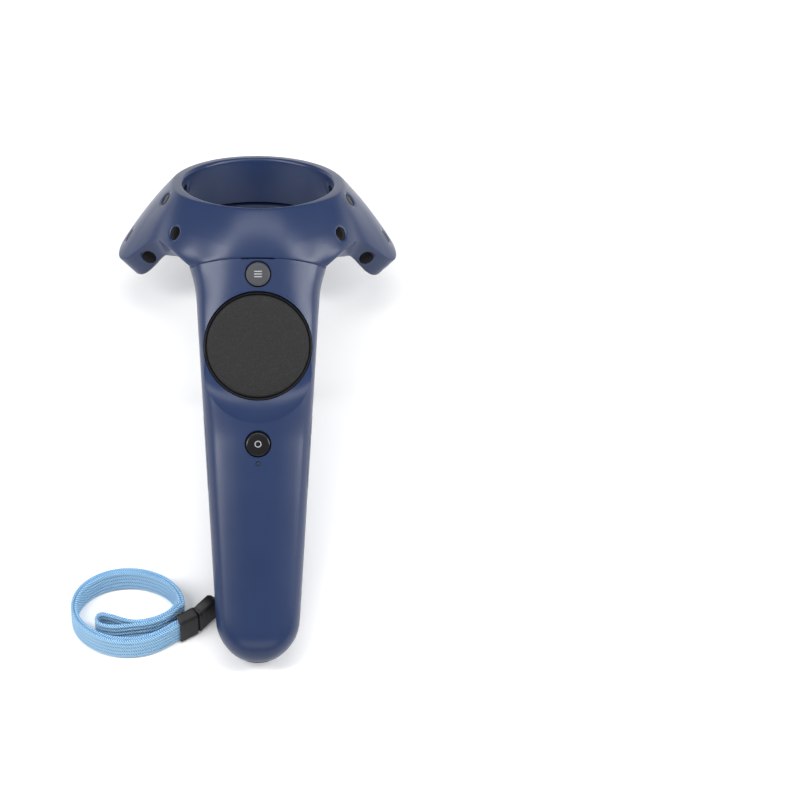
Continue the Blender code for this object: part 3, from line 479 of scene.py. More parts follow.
def boolean(piece, other, operation):
    """Does the Boolean at once and removes the other object. The piece keeps its own look throughout."""
    step = piece.modifiers.new("step", "BOOLEAN")
    step.operation = operation
    step.object = other
    step.solver = "EXACT"
    bpy.context.view_layer.update()
    graph = bpy.context.evaluated_depsgraph_get()
    mesh = bpy.data.meshes.new_from_object(piece.evaluated_get(graph))
    piece.modifiers.remove(step)
    spare = piece.data
    piece.data = mesh
    bpy.data.meshes.remove(spare)
    bpy.data.objects.remove(other)


def cut(piece, *cutters):
    for cutter in cutters:
        boolean(piece, cutter, "DIFFERENCE")


def add(piece, *extras):
    for extra in extras:
        boolean(piece, extra, "UNION")


def settle(piece):
    """Smooth shading with crisp creases, and one look, after the Booleans."""
    look = piece.data.materials[0]
    piece.data.materials.clear()
    piece.data.materials.append(look)
    for face in piece.data.polygons:
        face.material_index = 0
    piece.data.shade_smooth()
    piece.data.set_sharp_from_angle(angle=radians(32.0))
    return piece


def show(piece, nodes=(), body=ROOT, place=TO_ROW):
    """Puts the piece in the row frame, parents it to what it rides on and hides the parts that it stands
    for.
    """
    piece.data.transform(place)
    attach(piece, body)
    if nodes:
        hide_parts(*nodes)
    return piece


def between(value, low, high):
    """0 up to low, 1 from high, and smooth between them."""
    share = min(1.0, max(0.0, (value - low) / (high - low)))
    return share * share * (3 - 2 * share)


def mix(a, b, share):
    return a + (b - a) * share


def smooth_route(spots, steps):
    """A Catmull-Rom curve through the spots, with that many steps between two of them."""
    ends = [spots[0] * 2 - spots[1], *spots, spots[-1] * 2 - spots[-2]]
    route = []
    for a, b, c, d in zip(ends, ends[1:], ends[2:], ends[3:]):
        for k in range(steps):
            t = k / steps
            route.append(0.5 * (2 * b + (c - a) * t + (2 * a - 5 * b + 4 * c - d) * t**2
                                + (3 * b - a - 3 * c + d) * t**3))
    return [*route, spots[-1]]


def bend(start, corner, end, steps):
    """Points on a curve from start to end that bends towards the corner."""
    shares = [k / steps for k in range(steps + 1)]
    return [start * (1 - t) ** 2 + corner * 2 * t * (1 - t) + end * t**2 for t in shares]


def filleted(path, radii, steps):
    """The path with each inner corner rounded to about its radius."""
    rounded = [path[0]]
    for before, corner, after, radius in zip(path, path[1:], path[2:], radii):
        back, on = before - corner, after - corner
        reach = min(radius, back.length * 0.48, on.length * 0.48)
        rounded += bend(corner + back.normalized() * reach, corner, corner + on.normalized() * reach, steps)
    return [*rounded, path[-1]]


def arc(x, y, radius, start, sweep, steps):
    """Points round (x, y), from start degrees on."""
    turns = [radians(start + sweep * k / steps) for k in range(steps + 1)]
    return [(x + radius * cos(turn), y + radius * sin(turn)) for turn in turns]


# ---- handle ----


def body_half_width(z):
    height = min(z, NECK_Z)
    flare = 0.011 * max(0.0, height - 147.0) ** 2
    return 15.85 + 0.0625 * height + flare


def front_depth(z):
    return 10.9 + 0.029 * z


def back_depth(z):
    return 10.4 + 0.042 * z


def rounding_at(z, length):
    if z >= length:
        return 1.0
    return sqrt(max(0.0, 1.0 - ((length - z) / length) ** 2))


def squareness(z):
    near_pad = max(0.0, 1.0 - ((z - PAD_CENTRE.z) / 38.0) ** 2)
    return 2.6 + 1.6 * near_pad**2


def handle_ring(z, inset, sides):
    half = body_half_width(z) * rounding_at(z, TIP_ROUND) - inset
    shrink = rounding_at(z, TIP_DEPTH_ROUND)
    front = front_depth(z) * shrink - inset
    back = back_depth(z) * shrink - inset
    power = 2.0 / squareness(z)
    ring = []
    for k in range(sides):
        angle = tau * (k + 0.5) / sides
        across, along = cos(angle), sin(angle)
        depth = back if along > 0 else front
        ring.append((copysign(abs(across) ** power, across) * half,
                     copysign(abs(along) ** power, along) * depth, z))
    return ring


def handle_front_y(x, z):
    share = min(1.0, abs(x) / body_half_width(z))
    power = squareness(z)
    return -front_depth(z) * (1.0 - share**power) ** (1.0 / power)


def handle_solid(name, inset=0.0, bottom=0.0, fine=True):
    """A solid of the handle's shape. bottom is the height at which an inset one starts."""
    tip = range(4, 88, 4) if fine else range(12, 77, 16)
    levels = [bottom + (TIP_ROUND - bottom) * (1 - cos(radians(a))) for a in tip]
    step = 1.6 if fine else 8.0
    count = int((HANDLE_TOP - TIP_ROUND) / step)
    levels += [TIP_ROUND + (HANDLE_TOP - TIP_ROUND) * k / count for k in range(1, count + 1)]
    sides = SKIN_SIDES if fine else CAVITY_SIDES
    return loft(name, [handle_ring(z, inset, sides) for z in levels])


def pad_axis():
    return Vector((0.0, -cos(PAD_TILT), -sin(PAD_TILT)))


def thumb_stop(swell=0.0, count=128):
    """The crescent below the trackpad: a ramp from the pad's plane up to a circle on the surface."""
    inner = circle(PAD_CENTRE - pad_axis() * (0.6 + swell), pad_axis(), BEZEL_RADIUS + GAP + swell, count)
    radius = BEZEL_RADIUS + swell
    rim, top = [], []
    for point in inner:
        away = point - PAD_CENTRE
        turn = atan2(away.x, -away.z)
        shifted = THUMB_STOP_SHIFT * cos(turn)
        reach = shifted + sqrt(radius**2 - (THUMB_STOP_SHIFT * sin(turn)) ** 2)
        reach = max(reach, radius + GAP + 0.1)
        x = sin(turn) * reach
        z = PAD_CENTRE.z - cos(turn) * reach
        y = handle_front_y(x, z) + swell if abs(x) < body_half_width(z) - 0.3 else -8.0
        rim.append(Vector((x, y - 0.04, z)))
        top.append(Vector((x, -30.0, z)))
    rings = [inner]
    steps = 8
    for k in range(1, steps):
        t = k / steps
        ring = []
        for low, high in zip(inner, rim):
            spot = low.lerp(high, t)
            dip = 0.45 * min(1.0, (high - low).length / 9.0) * 4 * t * (1 - t)
            ring.append(Vector((spot.x, spot.y + dip, spot.z)))
        rings.append(ring)
    return loft("thumb_stop", [*rings, rim, top])


def stadium(half_length, half_height):
    """The outline of a grip's button, as (y, z)."""
    straight = half_length - half_height
    return [spot for end, start in ((1, 0.0), (-1, 180.0))
            for spot in arc(GRIP_Y, GRIP_Z + end * straight, half_height, start, 180.0, 24)]


def prism(name, outline, low_x, high_x):
    return loft(name, [[(x, y, z) for y, z in outline] for x in (low_x, high_x)])


def hole_plug(swell=0.0, count=128):
    """The head's hole as a solid that narrows below the ring, where the neck slopes to the trigger."""
    _, along = ring_axes()
    profile = ((8.0, -53.0), (22.0, -37.5), (HOLE_RADIUS + 3.7, -24.0), (HOLE_RADIUS + 1.2, -12.0),
               (HOLE_RADIUS, -1.6), (44.0, 24.0))
    swollen = [(radius + swell, height - swell * 0.3) for radius, height in profile]
    return turned("hole_plug", RING_CENTRE, along, swollen, count=count)


def seam_height(x):
    return SEAM_TOP_Z - SEAM_DROP * (x / SEAM_HALF_WIDTH) ** 2


def above_seam():
    spots = [-34.0 + 1.0 * k for k in range(69)]
    outline = [(x, seam_height(x) - GAP * 0.9) for x in spots] + [(34.0, 190.0), (-34.0, 190.0)]
    return loft("above_seam", [[(x, y, z) for x, z in outline] for y in (-40.0, -6.6)])


def screw_places():
    """(x, z, height of the seat) of each screw through the handle's back."""
    places = []
    for x, z in SCREW_PLACES:
        power = squareness(z)
        seat = back_depth(z) * (1 - (x / body_half_width(z)) ** power) ** (1 / power) - 3.4
        places += [(side * x, z, seat) for side in (1, -1)]
    return places


def handle_cavity():
    cavity = handle_solid("cavity", WALL, 2.6, fine=False)
    cut(cavity, hole_plug(WALL, 48), thumb_stop(2.0, 48))
    return cavity


def half_cutter(front):
    """The half of space that a shell leaves to the other one, stepped at the neck."""
    if front:
        behind = block("behind", (-50, SPLIT_Y - GAP / 2, -5), (50, 60, 260))
        add(behind, block("neck_step", (-22.0, -6.2, 156.8), (22.0, 20.0, 180.0)))
        return behind
    before = block("before", (-50, -60, -5), (50, SPLIT_Y + GAP / 2, 260))
    cut(before, block("neck_step", (-21.7, -5.9, 157.1), (21.7, 20.0, 181.0)))
    return before


def grip_slots():
    opening = stadium(GRIP_HALF_LENGTH + GRIP_GAP, GRIP_HALF_HEIGHT + GRIP_GAP)
    return [prism("grip_slot", opening, *sorted((side * 12.0, side * 32.0))) for side in (1, -1)]


def front_shell():
    shell = handle_solid("handle_front")
    cut(shell, half_cutter(True), handle_cavity(), hole_plug())
    cut(shell, above_seam(), envelope(), *grip_slots())
    axis = pad_axis()
    recess = cylinder("recess", PAD_CENTRE - axis * 6.2, PAD_CENTRE + axis * 14.0, BEZEL_RADIUS + GAP, 128)
    cut(shell, recess, thumb_stop())
    for z in (MENU_Z, SYSTEM_Z):
        cut(shell, hole_cutter(z, BUTTON_HOLE_RADIUS, 0.35))
    cut(shell, hole_cutter(LIGHT_Z, 0.85, 0.12))
    cut(shell, block("socket_mouth", (-4.3, -2.6, -4), (4.3, 0.9, 5)))
    show(settle(shell), ["handle_front_shell"])


def hole_cutter(z, radius, flare):
    """A round hole through the front, with a small rounded lip."""
    face = handle_front_y(0.0, z)
    return turned("hole", (0.0, face, z), FRONT,
                  ((radius, -6.0), (radius, -flare), (radius + flare * 0.3, -flare * 0.35),
                   (radius + flare, 0.05), (radius + flare + 3.0, 3.2)), count=96)


def back_shell():
    shell = handle_solid("handle_back")
    cut(shell, handle_cavity())
    add(shell, block("lanyard_walls", (-7.0, 2.4, BAR_Z - 5.0), (7.0, 9.4, BAR_Z + 5.0)))
    for x, z, seat in screw_places():
        add(shell, cylinder("boss", (x, -1.0, z), (x, seat + 1.6, z), 2.9, 32))
    cut(shell, half_cutter(False), hole_plug())
    cut(shell, above_seam(), envelope(), *grip_slots())
    cut(shell, block("trigger_slot", (-11.2, 4.0, 110.0), (11.2, 30.0, 151.0)))
    for x, z, seat in screw_places():
        hole = ((1.25, -1.5), (1.25, seat + 1.0), (2.3, seat + 1.01), (2.3, seat + 12.0))
        cut(shell, turned("screw_hole", (x, -1.0, z), (0, 1, 0), hole, count=40))
    cut(shell, block("lanyard_pocket", (-5.0, 4.4, BAR_Z - 3.2), (5.0, 16.0, BAR_Z + 3.2)))
    cut(shell, cylinder("bar_hole", (-6.3, BAR_Y, BAR_Z), (6.3, BAR_Y, BAR_Z), 1.2, 24))
    cut(shell, table_cutter())
    show(settle(shell), ["handle_back_shell"])


def table_cutter():
    """Everything below the table, for the flats that the controller rests on."""
    corners = ((-200, -300), (200, -300), (200, 300), (-200, 300))
    from_row = TO_ROW.inverted() @ ON_TABLE
    return loft("table", [[from_row @ Vector((x, y, z)) for x, y in corners] for z in (-40, 0)])


# ---- head ----


def ring_axes():
    along = Vector((0.0, -sin(RING_TILT), cos(RING_TILT)))
    far = Vector((0.0, cos(RING_TILT), sin(RING_TILT)))
    return far, along


def to_ring(point):
    """(angle from the near side in degrees, radius, height) about the ring's axis."""
    far, along = ring_axes()
    offset = Vector(point) - RING_CENTRE
    across, back, height = offset.x, offset.dot(far), offset.dot(along)
    return degrees(atan2(abs(across), -back)), hypot(across, back), height


def from_ring(angle, side, radius, height):
    far, along = ring_axes()
    turn = radians(angle)
    return RING_CENTRE + Vector((side * sin(turn) * radius, 0.0, 0.0)) \
        - far * cos(turn) * radius + along * height


# The head's outer edge beyond the seam: angle, radius, height. Angles 66 to 82 are the ear's end face.
OUTER_EDGE = (
    (40.0, 47.1, -20.8),
    (50.0, 46.1, -19.3),
    (60.0, 45.4, -18.6),
    (66.0, 45.6, -18.9),
    (70.0, 47.2, -20.6),
    (76.5, 51.2, -26.2),
    (82.0, 55.6, -31.6),
    (86.5, 58.0, -33.0),
    (92.0, 58.6, -32.0),
    (104.0, 57.4, -29.4),
    (120.0, 54.4, -26.6),
    (136.0, 51.4, -24.6),
    (152.0, 49.4, -23.4),
    (166.0, 48.4, -23.0),
    (180.0, 48.2, -22.9),
)


def edge_points():
    seam = []
    for x in (0.0, 7.0, 14.0, 20.5, SEAM_HALF_WIDTH):
        z = seam_height(x)
        seam.append(to_ring((x, handle_front_y(x, z), z)))
    return [*seam, (42.5, 46.3, -21.6), *OUTER_EDGE[1:]]


EDGE = edge_points()
# Where the slope would end if it did not roll over to the handle's side at the seam's ends.
SLOPE_EDGE = [*EDGE[:3], (25.8, 46.9, -19.2), (35.3, 46.9, -20.0), (43.0, 46.6, -19.8), *OUTER_EDGE[1:]]


def curve_at(table, angle):
    """The (radius, height) of an edge at any angle, on a smooth curve through its points."""
    k = max(i for i in range(len(table) - 1) if table[i][0] <= angle + 1e-9)
    a, b = table[k], table[k + 1]
    before = table[k - 1] if k else (-table[1][0], *table[1][1:])
    after = table[k + 2] if k + 2 < len(table) else (360.0 - table[-2][0], *table[-2][1:])
    width = b[0] - a[0]
    t = (angle - a[0]) / width
    values = []
    for i in (1, 2):
        slope_a = (b[i] - before[i]) / (b[0] - before[0]) * width
        slope_b = (after[i] - a[i]) / (after[0] - a[0]) * width
        values.append((2 * t**3 - 3 * t**2 + 1) * a[i] + (t**3 - 2 * t**2 + t) * slope_a
                      + (3 * t**2 - 2 * t**3) * b[i] + (t**3 - t**2) * slope_b)
    return Vector(values)


def softened(table, angle):
    """The same curve with the ear's corners rounded, by averaging it over a few degrees."""
    spread = 1.5 * between(angle, 44, 54) * (1 - between(angle, 150, 172))
    spots = [curve_at(table, angle + spread * k / 3) for k in range(-3, 4)]
    return sum(spots, Vector((0.0, 0.0))) / len(spots)


def corners_at(angle):
    """Named corners of the head's section at that angle, as (radius, height)."""
    side = between(angle, 20, 75)
    far = between(angle, 95, 160)
    band = between(angle, 30, 40)
    edge = softened(EDGE, angle)
    lip_radius = HOLE_RADIUS + mix(mix(3.6, 6.2, side), 4.4, far)
    lip = Vector((lip_radius, mix(mix(-24.0, -26.2, side), -21.8, far)))
    near_bottom = edge.lerp(lip, 0.45) + Vector((0.4, -1.9))
    ear = between(angle, 64, 82)
    hollow = 4.2 * (1 - between(angle, 44, 67))
    free_bottom = edge + Vector((mix(mix(-4.0, -7.8, ear), -5.0, far), mix(hollow - 7.8, -9.8, far)))
    return {
        "lip": lip,
        "wall": Vector((HOLE_RADIUS + mix(1.1, 2.0, side), -12.0)),
        "hole": Vector((HOLE_RADIUS, -1.6)),
        "crest_in": Vector((HOLE_RADIUS + 0.7, -0.35)),
        "crest_out": Vector((HOLE_RADIUS + mix(1.7, 4.7, side), -0.6)),
        "turn": softened(SLOPE_EDGE, angle),
        "edge": edge,
        "bottom": near_bottom.lerp(free_bottom, band),
        "reach": mix(mix(0.8, 9.0, between(angle, 2, 34)), 1.4, between(angle, 40, 60)),
        "round": mix(0.3, 0.9, between(angle, 34, 50)),
    }


def slope_point(shape, share):
    straight = shape["crest_out"].lerp(shape["turn"], share)
    run = shape["turn"] - shape["crest_out"]
    outwards = Vector((-run.y, run.x)).normalized()
    return straight + outwards * 0.9 * 4 * share * (1 - share)


def offset_path(path, distance, closed=False):
    """The path moved to its right by distance, with mitred corners."""
    moved = []
    last = len(path) - 1
    for k, point in enumerate(path):
        before = path[k] - path[k - 1] if closed or k > 0 else path[1] - path[0]
        after = path[(k + 1) % len(path)] - path[k] if closed or k < last else path[last] - path[last - 1]
        first = Vector((before.y, -before.x)).normalized()
        second = Vector((after.y, -after.x)).normalized()
        middle = (first + second).normalized()
        moved.append(point + middle * distance / max(0.45, middle.dot(first)))
    return moved


def outer_path(shape):
    """Hole wall, rounded crest, bowed slope and the roll over the outer edge."""
    top = 1 - shape["reach"] / (shape["turn"] - shape["crest_out"]).length
    slope = [slope_point(shape, top * k / 15) for k in range(1, 16)]
    lip, wall, hole = shape["lip"], shape["wall"], shape["hole"]
    corners = [lip, lip.lerp(wall, 0.5), wall, wall.lerp(hole, 0.5), hole]
    corners += [shape["crest_in"], shape["crest_out"], slope[0]]
    path = filleted(corners, (3.0, 4.0, 3.0, 0.9, 0.6, 1.2), 4)[:-1] + slope
    down = (shape["bottom"] - shape["edge"]).normalized()
    start, end = slope[-1], shape["edge"] + down * shape["round"]
    for k in range(1, 9):
        t = k / 8
        path.append(start * (1 - t) ** 3 + shape["turn"] * 3 * t * (1 - t) ** 2
                    + shape["edge"] * 3 * t**2 * (1 - t) + end * t**3)
    return path


def cover_section(shape):
    """The outer path and the inner side of the shell."""
    plain = [shape[word] for word in ("lip", "wall", "hole", "crest_in", "crest_out")]
    plain += [slope_point(shape, 0.35), slope_point(shape, 0.7), shape["edge"]]
    inner = offset_path(plain, HEAD_WALL)[::-1]
    outer = outer_path(shape)
    soft = 0.35
    start = outer[0] + (inner[-1] - outer[0]).normalized() * soft
    outer[0] = outer[0] + (outer[1] - outer[0]).normalized() * soft
    down = (shape["bottom"] - shape["edge"]).normalized()
    foot = shape["edge"] + down * HEAD_WALL
    across = (inner[0] - shape["edge"]).normalized()
    return outer + [foot, foot + across * 1.2] + inner + [start]


def base_section(shape):
    """The band below the outer edge and the underside, and the inner side of the shell."""
    start = HEAD_WALL + 0.04
    edge, bottom, lip = shape["edge"], shape["bottom"], shape["lip"]
    first = edge + (bottom - edge).normalized() * start
    last = lip + (bottom - lip).normalized() * start
    path = [first, bottom, last]
    first_fine = [first, first.lerp(bottom, 0.3), first.lerp(bottom, 0.6)]
    rounded = filleted([first.lerp(bottom, 0.6), bottom, bottom.lerp(last, 0.5)], [1.8], 6)
    return first_fine + rounded[1:] + [last] + offset_path(path, HEAD_WALL)[::-1]


def envelope_section(shape):
    path = [shape[word] for word in ("lip", "wall", "hole", "crest_in", "crest_out")]
    path += [slope_point(shape, 0.35), slope_point(shape, 0.7), slope_point(shape, 0.92)]
    path += [shape["turn"].lerp(shape["edge"], 0.15), shape["edge"], shape["bottom"]]
    return offset_path(path, -GAP, closed=True)


def angles_between(start):
    """Angles from start to 180 degrees, closer together round the ear."""
    angles, angle = [], start
    while angle < 180.0:
        angles.append(angle)
        angle += 1.0 if 60.0 <= angle < 92.0 else 2.0
    return [*angles, 180.0]


def ring_loft(name, section_of, start=0.0):
    """The section carried round the ring: closed, or open at the near side from start degrees."""
    angles = angles_between(start)
    stations = [(angle, 1) for angle in angles] + [(angle, -1) for angle in angles[-2::-1] if angle > 0.0]
    rings = []
    for angle, side in stations:
        rings.append([from_ring(angle, side, *p) for p in section_of(corners_at(angle))])
    return loft(name, rings, closed=start == 0.0)


def envelope():
    """The head with a gap round it, to be left out of the handle."""
    return ring_loft("envelope", envelope_section)


# Sensor windows of one side: the surface, the angle from the near side and the place along that surface.
WINDOWS = (
    ("slope", 52.0, 0.70),
    ("slope", 78.0, 0.17),
    ("slope", 92.0, 0.78),
    ("slope", 118.0, 0.30),
    ("slope", 134.0, 0.72),
    ("slope", 168.0, 0.45),
    ("wall", 110.0, 0.62),
    ("ear", 75.5, 0.57),
    ("bottom", 97.0, 0.55),
    ("bottom", 128.0, 0.45),
    ("bottom", 160.0, 0.5),
)


def window_place(kind, angle, share, side):
    """(centre on the surface, outward direction) of a sensor window."""
    shape = corners_at(angle)
    ends = {"wall": ("hole", "wall"), "bottom": ("bottom", "lip"), "ear": ("edge", "bottom")}
    if kind == "slope":
        spot = slope_point(shape, share)
        run = slope_point(shape, share + 0.05) - slope_point(shape, share - 0.05)
    else:
        first, second = (shape[word] for word in ends[kind])
        spot = first.lerp(second, share)
        run = second - first
    outwards = Vector((-run.y, run.x)).normalized()
    if kind in ("wall", "bottom") and outwards.x > 0:
        outwards = -outwards
    centre = from_ring(angle, side, spot.x, spot.y)
    if kind == "ear":
        inner, outer = (from_ring(limit, side, *corners_at(limit)["edge"]) for limit in EAR_FACE)
        along_edge = outer - inner
        along_band = from_ring(angle, side, *shape["bottom"]) - from_ring(angle, side, *shape["edge"])
        direction = along_edge.cross(along_band).normalized()
        direction = direction if direction.y < 0 else -direction
        return centre, (direction + Vector((0.0, -0.35, 0.0))).normalized()
    tip = from_ring(angle, side, spot.x + outwards.x, spot.y + outwards.y)
    return centre, (tip - centre).normalized()


def dimple(kind):
    """A round recess with a soft rim."""
    radius = WINDOW_RADIUS[kind]
    flare = 0.55 if kind == "ear" else 1.0
    return ((radius, -1.4), (radius, -0.42), (radius + 0.12 * flare, -0.3), (radius + 0.5 * flare, -0.2),
            (radius + 1.0 * flare, -0.08), (radius + 1.5 * flare, 0.02), (radius + 2.4 * flare, 1.5))


def lens(kind):
    radius, depth = WINDOW_RADIUS[kind], WINDOW_RECESS
    return ((radius - 0.02, -1.9), (radius - 0.02, -depth - 0.1), (radius - 0.3, 0.02 - depth),
            (radius * 0.5, 0.12 - depth), (0.25, 0.16 - depth))


def window_meshes(name, profile_of, look, kinds):
    """One mesh with a solid of revolution at every window of those kinds."""
    solids = []
    for kind, angle, share in WINDOWS:
        for side in (1, -1) if kind in kinds else ():
            centre, outwards = window_place(kind, angle, share, side)
            solids.append(turned_rings(centre, outwards, profile_of(kind), 48))
    return lofts(name, solids, look)


def head():
    cover = ring_loft("head_cover_skin", cover_section)
    base = ring_loft("head_base_skin", base_section, 36.0)
    for kind in ("slope", "wall", "ear"):
        cut(cover, window_meshes("dimples", dimple, "blue", (kind,)))
    cut(base, window_meshes("dimples", dimple, "blue", ("ear", "bottom")))
    cut(base, table_cutter())
    show(settle(cover), ["head_cover"])
    show(settle(base), ["head_base"])
    show(window_meshes("sensor_lenses", lens, "lens", tuple(WINDOW_RADIUS)))


# ---- trackpad, buttons, trigger, grips ----


def trackpad():
    rim = PAD_RADIUS - 0.15
    profile = ((rim - 0.3, -2.2), (rim, -2.0), (rim, -1.1), (rim - 0.08, -0.7), (rim - 0.28, -0.35),
               (rim - 0.62, -0.1), (rim - 1.1, 0.0),
               (PAD_RADIUS * 0.66, -0.12), (PAD_RADIUS * 0.33, -0.2), (0.4, -0.22))
    cap = turned("trackpad_disc", PAD_CENTRE, pad_axis(), profile, "pad", 128)
    show(cap, ["trackpad_cap"], "trackpad")
    outer, inner = BEZEL_RADIUS, PAD_RADIUS
    cup = ((outer - 0.2, -5.4), (outer, -5.2), (outer, -0.75), (outer - 0.12, -0.55), (inner + 0.3, -0.6),
           (inner + 0.16, -0.8), (inner + 0.15, -4.6), (7.0, -4.6), (7.0, -5.4))
    ring = turned("trackpad_ring", PAD_CENTRE, pad_axis(), cup, "black", 128, closed=True)
    show(ring, ["trackpad_bezel"])


def button(name, z, look, node, body, dome):
    """A domed cap on a wide flange and a stem. The distances run outwards from the handle's face."""
    face = handle_front_y(0.0, z)
    inner = face + WALL
    radius = BUTTON_RADIUS
    back = face - inner
    stem = ((1.8, face + 6.3), (1.8, back - 1.1), (5.7, back - 1.09), (5.7, back - GAP))
    cap = ((radius, back - GAP + 0.01), (radius, -0.15), (radius - 0.08, 0.1), (radius - 0.3, 0.28),
           (radius - 0.7, 0.36), (radius * 0.6, 0.36 + dome * 0.6), (radius * 0.3, 0.36 + dome * 0.9),
           (0.2, 0.36 + dome))
    made = turned(name, (0, face, z), FRONT, stem + cap, look, 96)
    if node == "menu_button":
        cut(made, block("flange_flat", (-8.0, inner, z - 8.0), (8.0, -5.0, z - 3.9)))
        settle(made)
    show(made, [node], body)
    return face


def menu_icon(face_y):
    """Three short raised bars with round ends."""
    half_length, half_height, spacing = 1.6, 0.2, 1.08
    bars = []
    for row in (-1, 0, 1):
        bar = []
        for end, start in ((1, -90.0), (-1, 90.0)):
            x = end * (half_length - half_height)
            bar += arc(x, MENU_Z + row * spacing, half_height, start, 180.0, 6)
        bars.append([[(x, y, z) for x, z in bar] for y in (face_y + 0.15, face_y - 0.03)])
    show(lofts("menu_icon_bars", bars, "icon"), body="menu_key")


def system_icon(face_y):
    """A plain ring."""
    profile = ((1.35, -0.15), (1.35, 0.03), (1.02, 0.03), (1.02, -0.15))
    ring = turned("system_icon_ring", (0.0, face_y, SYSTEM_Z), FRONT, profile, "icon", closed=True)
    show(ring, body="system_key")


def buttons():
    face = button("menu_cap", MENU_Z, "grey", "menu_button", "menu_key", 0.02)
    menu_icon(face - 0.36)
    face = button("system_cap", SYSTEM_Z, "gloss", "system_button", "system_key", 0.1)
    system_icon(face - 0.44)


TRIGGER_OUTLINE = (
    (12.0, 150.4), (16.4, 149.6), (20.0, 146.0), (21.9, 140.5), (22.5, 134.5), (22.9, 129.0), (24.3, 122.8),
    (27.2, 117.2), (29.6, 114.2), (29.9, 112.9), (28.6, 112.3), (25.4, 114.4), (21.4, 118.4), (18.2, 122.4),
    (14.6, 124.6), (14.6, 132.4), (11.3, 136.0), (11.3, 142.0), (5.6, 143.8), (4.7, 147.0), (5.6, 149.8),
    (8.4, 150.6),
)


def trigger():
    """The outline with rounded corners, drawn in towards its sides so that the finger face is crowned."""
    corners = [Vector(p) for p in TRIGGER_OUTLINE]
    outline = []
    for k, corner in enumerate(corners):
        back, on = corners[k - 1] - corner, corners[(k + 1) % len(corners)] - corner
        start = corner + back.normalized() * min(1.6, back.length * 0.45)
        end = corner + on.normalized() * min(1.6, on.length * 0.45)
        outline += bend(start, corner, end, 3)
    half = (0.0, 0.35, 0.7, 0.88, 0.95, 0.985, 1.0)
    rings = []
    for share in [-s for s in half[:0:-1]] + list(half):
        inset = 1.3 * max(0.0, (abs(share) - 0.86) / 0.14) ** 2 + 0.25 * share**2
        moved = offset_path(outline, inset, closed=True)
        rings.append([(share * TRIGGER_HALF_WIDTH, *p) for p in moved])
    made = loft("trigger_lever", rings, "black")
    cut(made, cylinder("bore", (-20, PIVOT.y, PIVOT.z), (20, PIVOT.y, PIVOT.z), 1.62))
    show(settle(made), ["trigger"], "trigger_unit")


def spring():
    """The trigger's return spring."""
    steps = 20 * SPRING_TURNS
    along = Vector((0, 1, 0))
    rings = []
    for k in range(steps + 1):
        angle = tau * SPRING_TURNS * k / steps
        out = Vector((cos(angle), 0, sin(angle)))
        centre = SPRING_SEAT + out * SPRING_RADIUS + along * (SPRING_LENGTH * k / steps)
        corners = [tau * c / 10 for c in range(10)]
        rings.append([centre + (out * cos(a) + along * sin(a)) * SPRING_WIRE for a in corners])
    made = show(loft("return_spring", rings, "steel"), ["trigger_spring"])
    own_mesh(made)


def grips():
    for side, word in ((1, "right"), (-1, "left")):
        outline = stadium(GRIP_HALF_LENGTH, GRIP_HALF_HEIGHT)
        made = prism(f"grip_plate_{word}", outline, *sorted((side * 13.0, side * 32.0)))
        boolean(made, handle_solid("grip_skin", -GRIP_PROUD), "INTERSECT")
        cut(made, handle_solid("grip_back", 1.9, 2.0, fine=False))
        add(made, cylinder("stem", (side * 20.2, GRIP_Y, GRIP_Z), (side * 15.6, GRIP_Y, GRIP_Z), 1.6, 24))
        show(settle(made), [f"grip_button_{word}"], f"grip_{word}")


# ---- strap ----


def strap_route(steps):
    """The doubled webbing's lower mid-line: out of the sleeve, once round the coil and back inside it."""
    middle, half = Vector(COIL_CENTRE), Vector(COIL_HALF_SIZE)
    start, end = Vector(SLEEVE_START), Vector(SLEEVE_END)
    along = (end - start).normalized()
    spots = [start + along * 2.5, start - along * 0.5]
    for angle in (-62, -90, -118, -146, -172, 162, 135, 108, 80, 52, 26, 4):
        turn = radians(angle)
        spots.append(middle + Vector((cos(turn) * half.x, sin(turn) * half.y)))
    spots += [middle + Vector(spot) for spot in INNER_TURN]
    return [Vector((spot.x, spot.y, 0.0)) for spot in smooth_route(spots, steps)]


def upright(spot, across, height):
    return spot + across + Vector((0.0, sin(WEBBING_TILT), cos(WEBBING_TILT))) * height


def sideways(route, k):
    forward = (route[min(k + 1, len(route) - 1)] - route[max(k - 1, 0)]).normalized()
    return Vector((-forward.y, forward.x, 0.0))


def band_line(route):
    """The webbing's own line: out on one side of the mid-line, round the fold and back on the other."""
    lengths = [0.0]
    for a, b in zip(route, route[1:]):
        lengths.append(lengths[-1] + (b - a).length)
    total = lengths[-1]
    rest, opened, opening = 0.68, 2.3, 17.0
    out, back = [], []
    for k, spot in enumerate(route):
        left = total - lengths[k]
        share = max(0.0, 1 - left / opening)
        bulge = rest + (opened - rest) * sin(min(1.0, share * 1.35) * pi / 2) ** 2
        if left < 2.6:
            bulge *= sqrt(max(0.0, 1 - ((2.6 - left) / 2.75) ** 2))
        across = sideways(route, k)
        out.append(spot + across * bulge)
        back.append(spot - across * bulge)
    return out + back[::-1]


def evenly(line, step):
    """The line again, with points a step apart."""
    spots, reach = [line[0]], 0.0
    for a, b in zip(line, line[1:]):
        length = (b - a).length
        while length and reach + length >= step:
            a = a + (b - a) * ((step - reach) / length)
            length = (b - a).length
            spots.append(a)
            reach = 0.0
        reach += length
    return spots


def relaxed(line, rounds):
    """The line smoothed, with its ends kept."""
    for _ in range(rounds):
        inner = [(a + b * 2 + c) / 4 for a, b, c in zip(line, line[1:], line[2:])]
        line = [line[0], *inner, line[-1]]
    return line


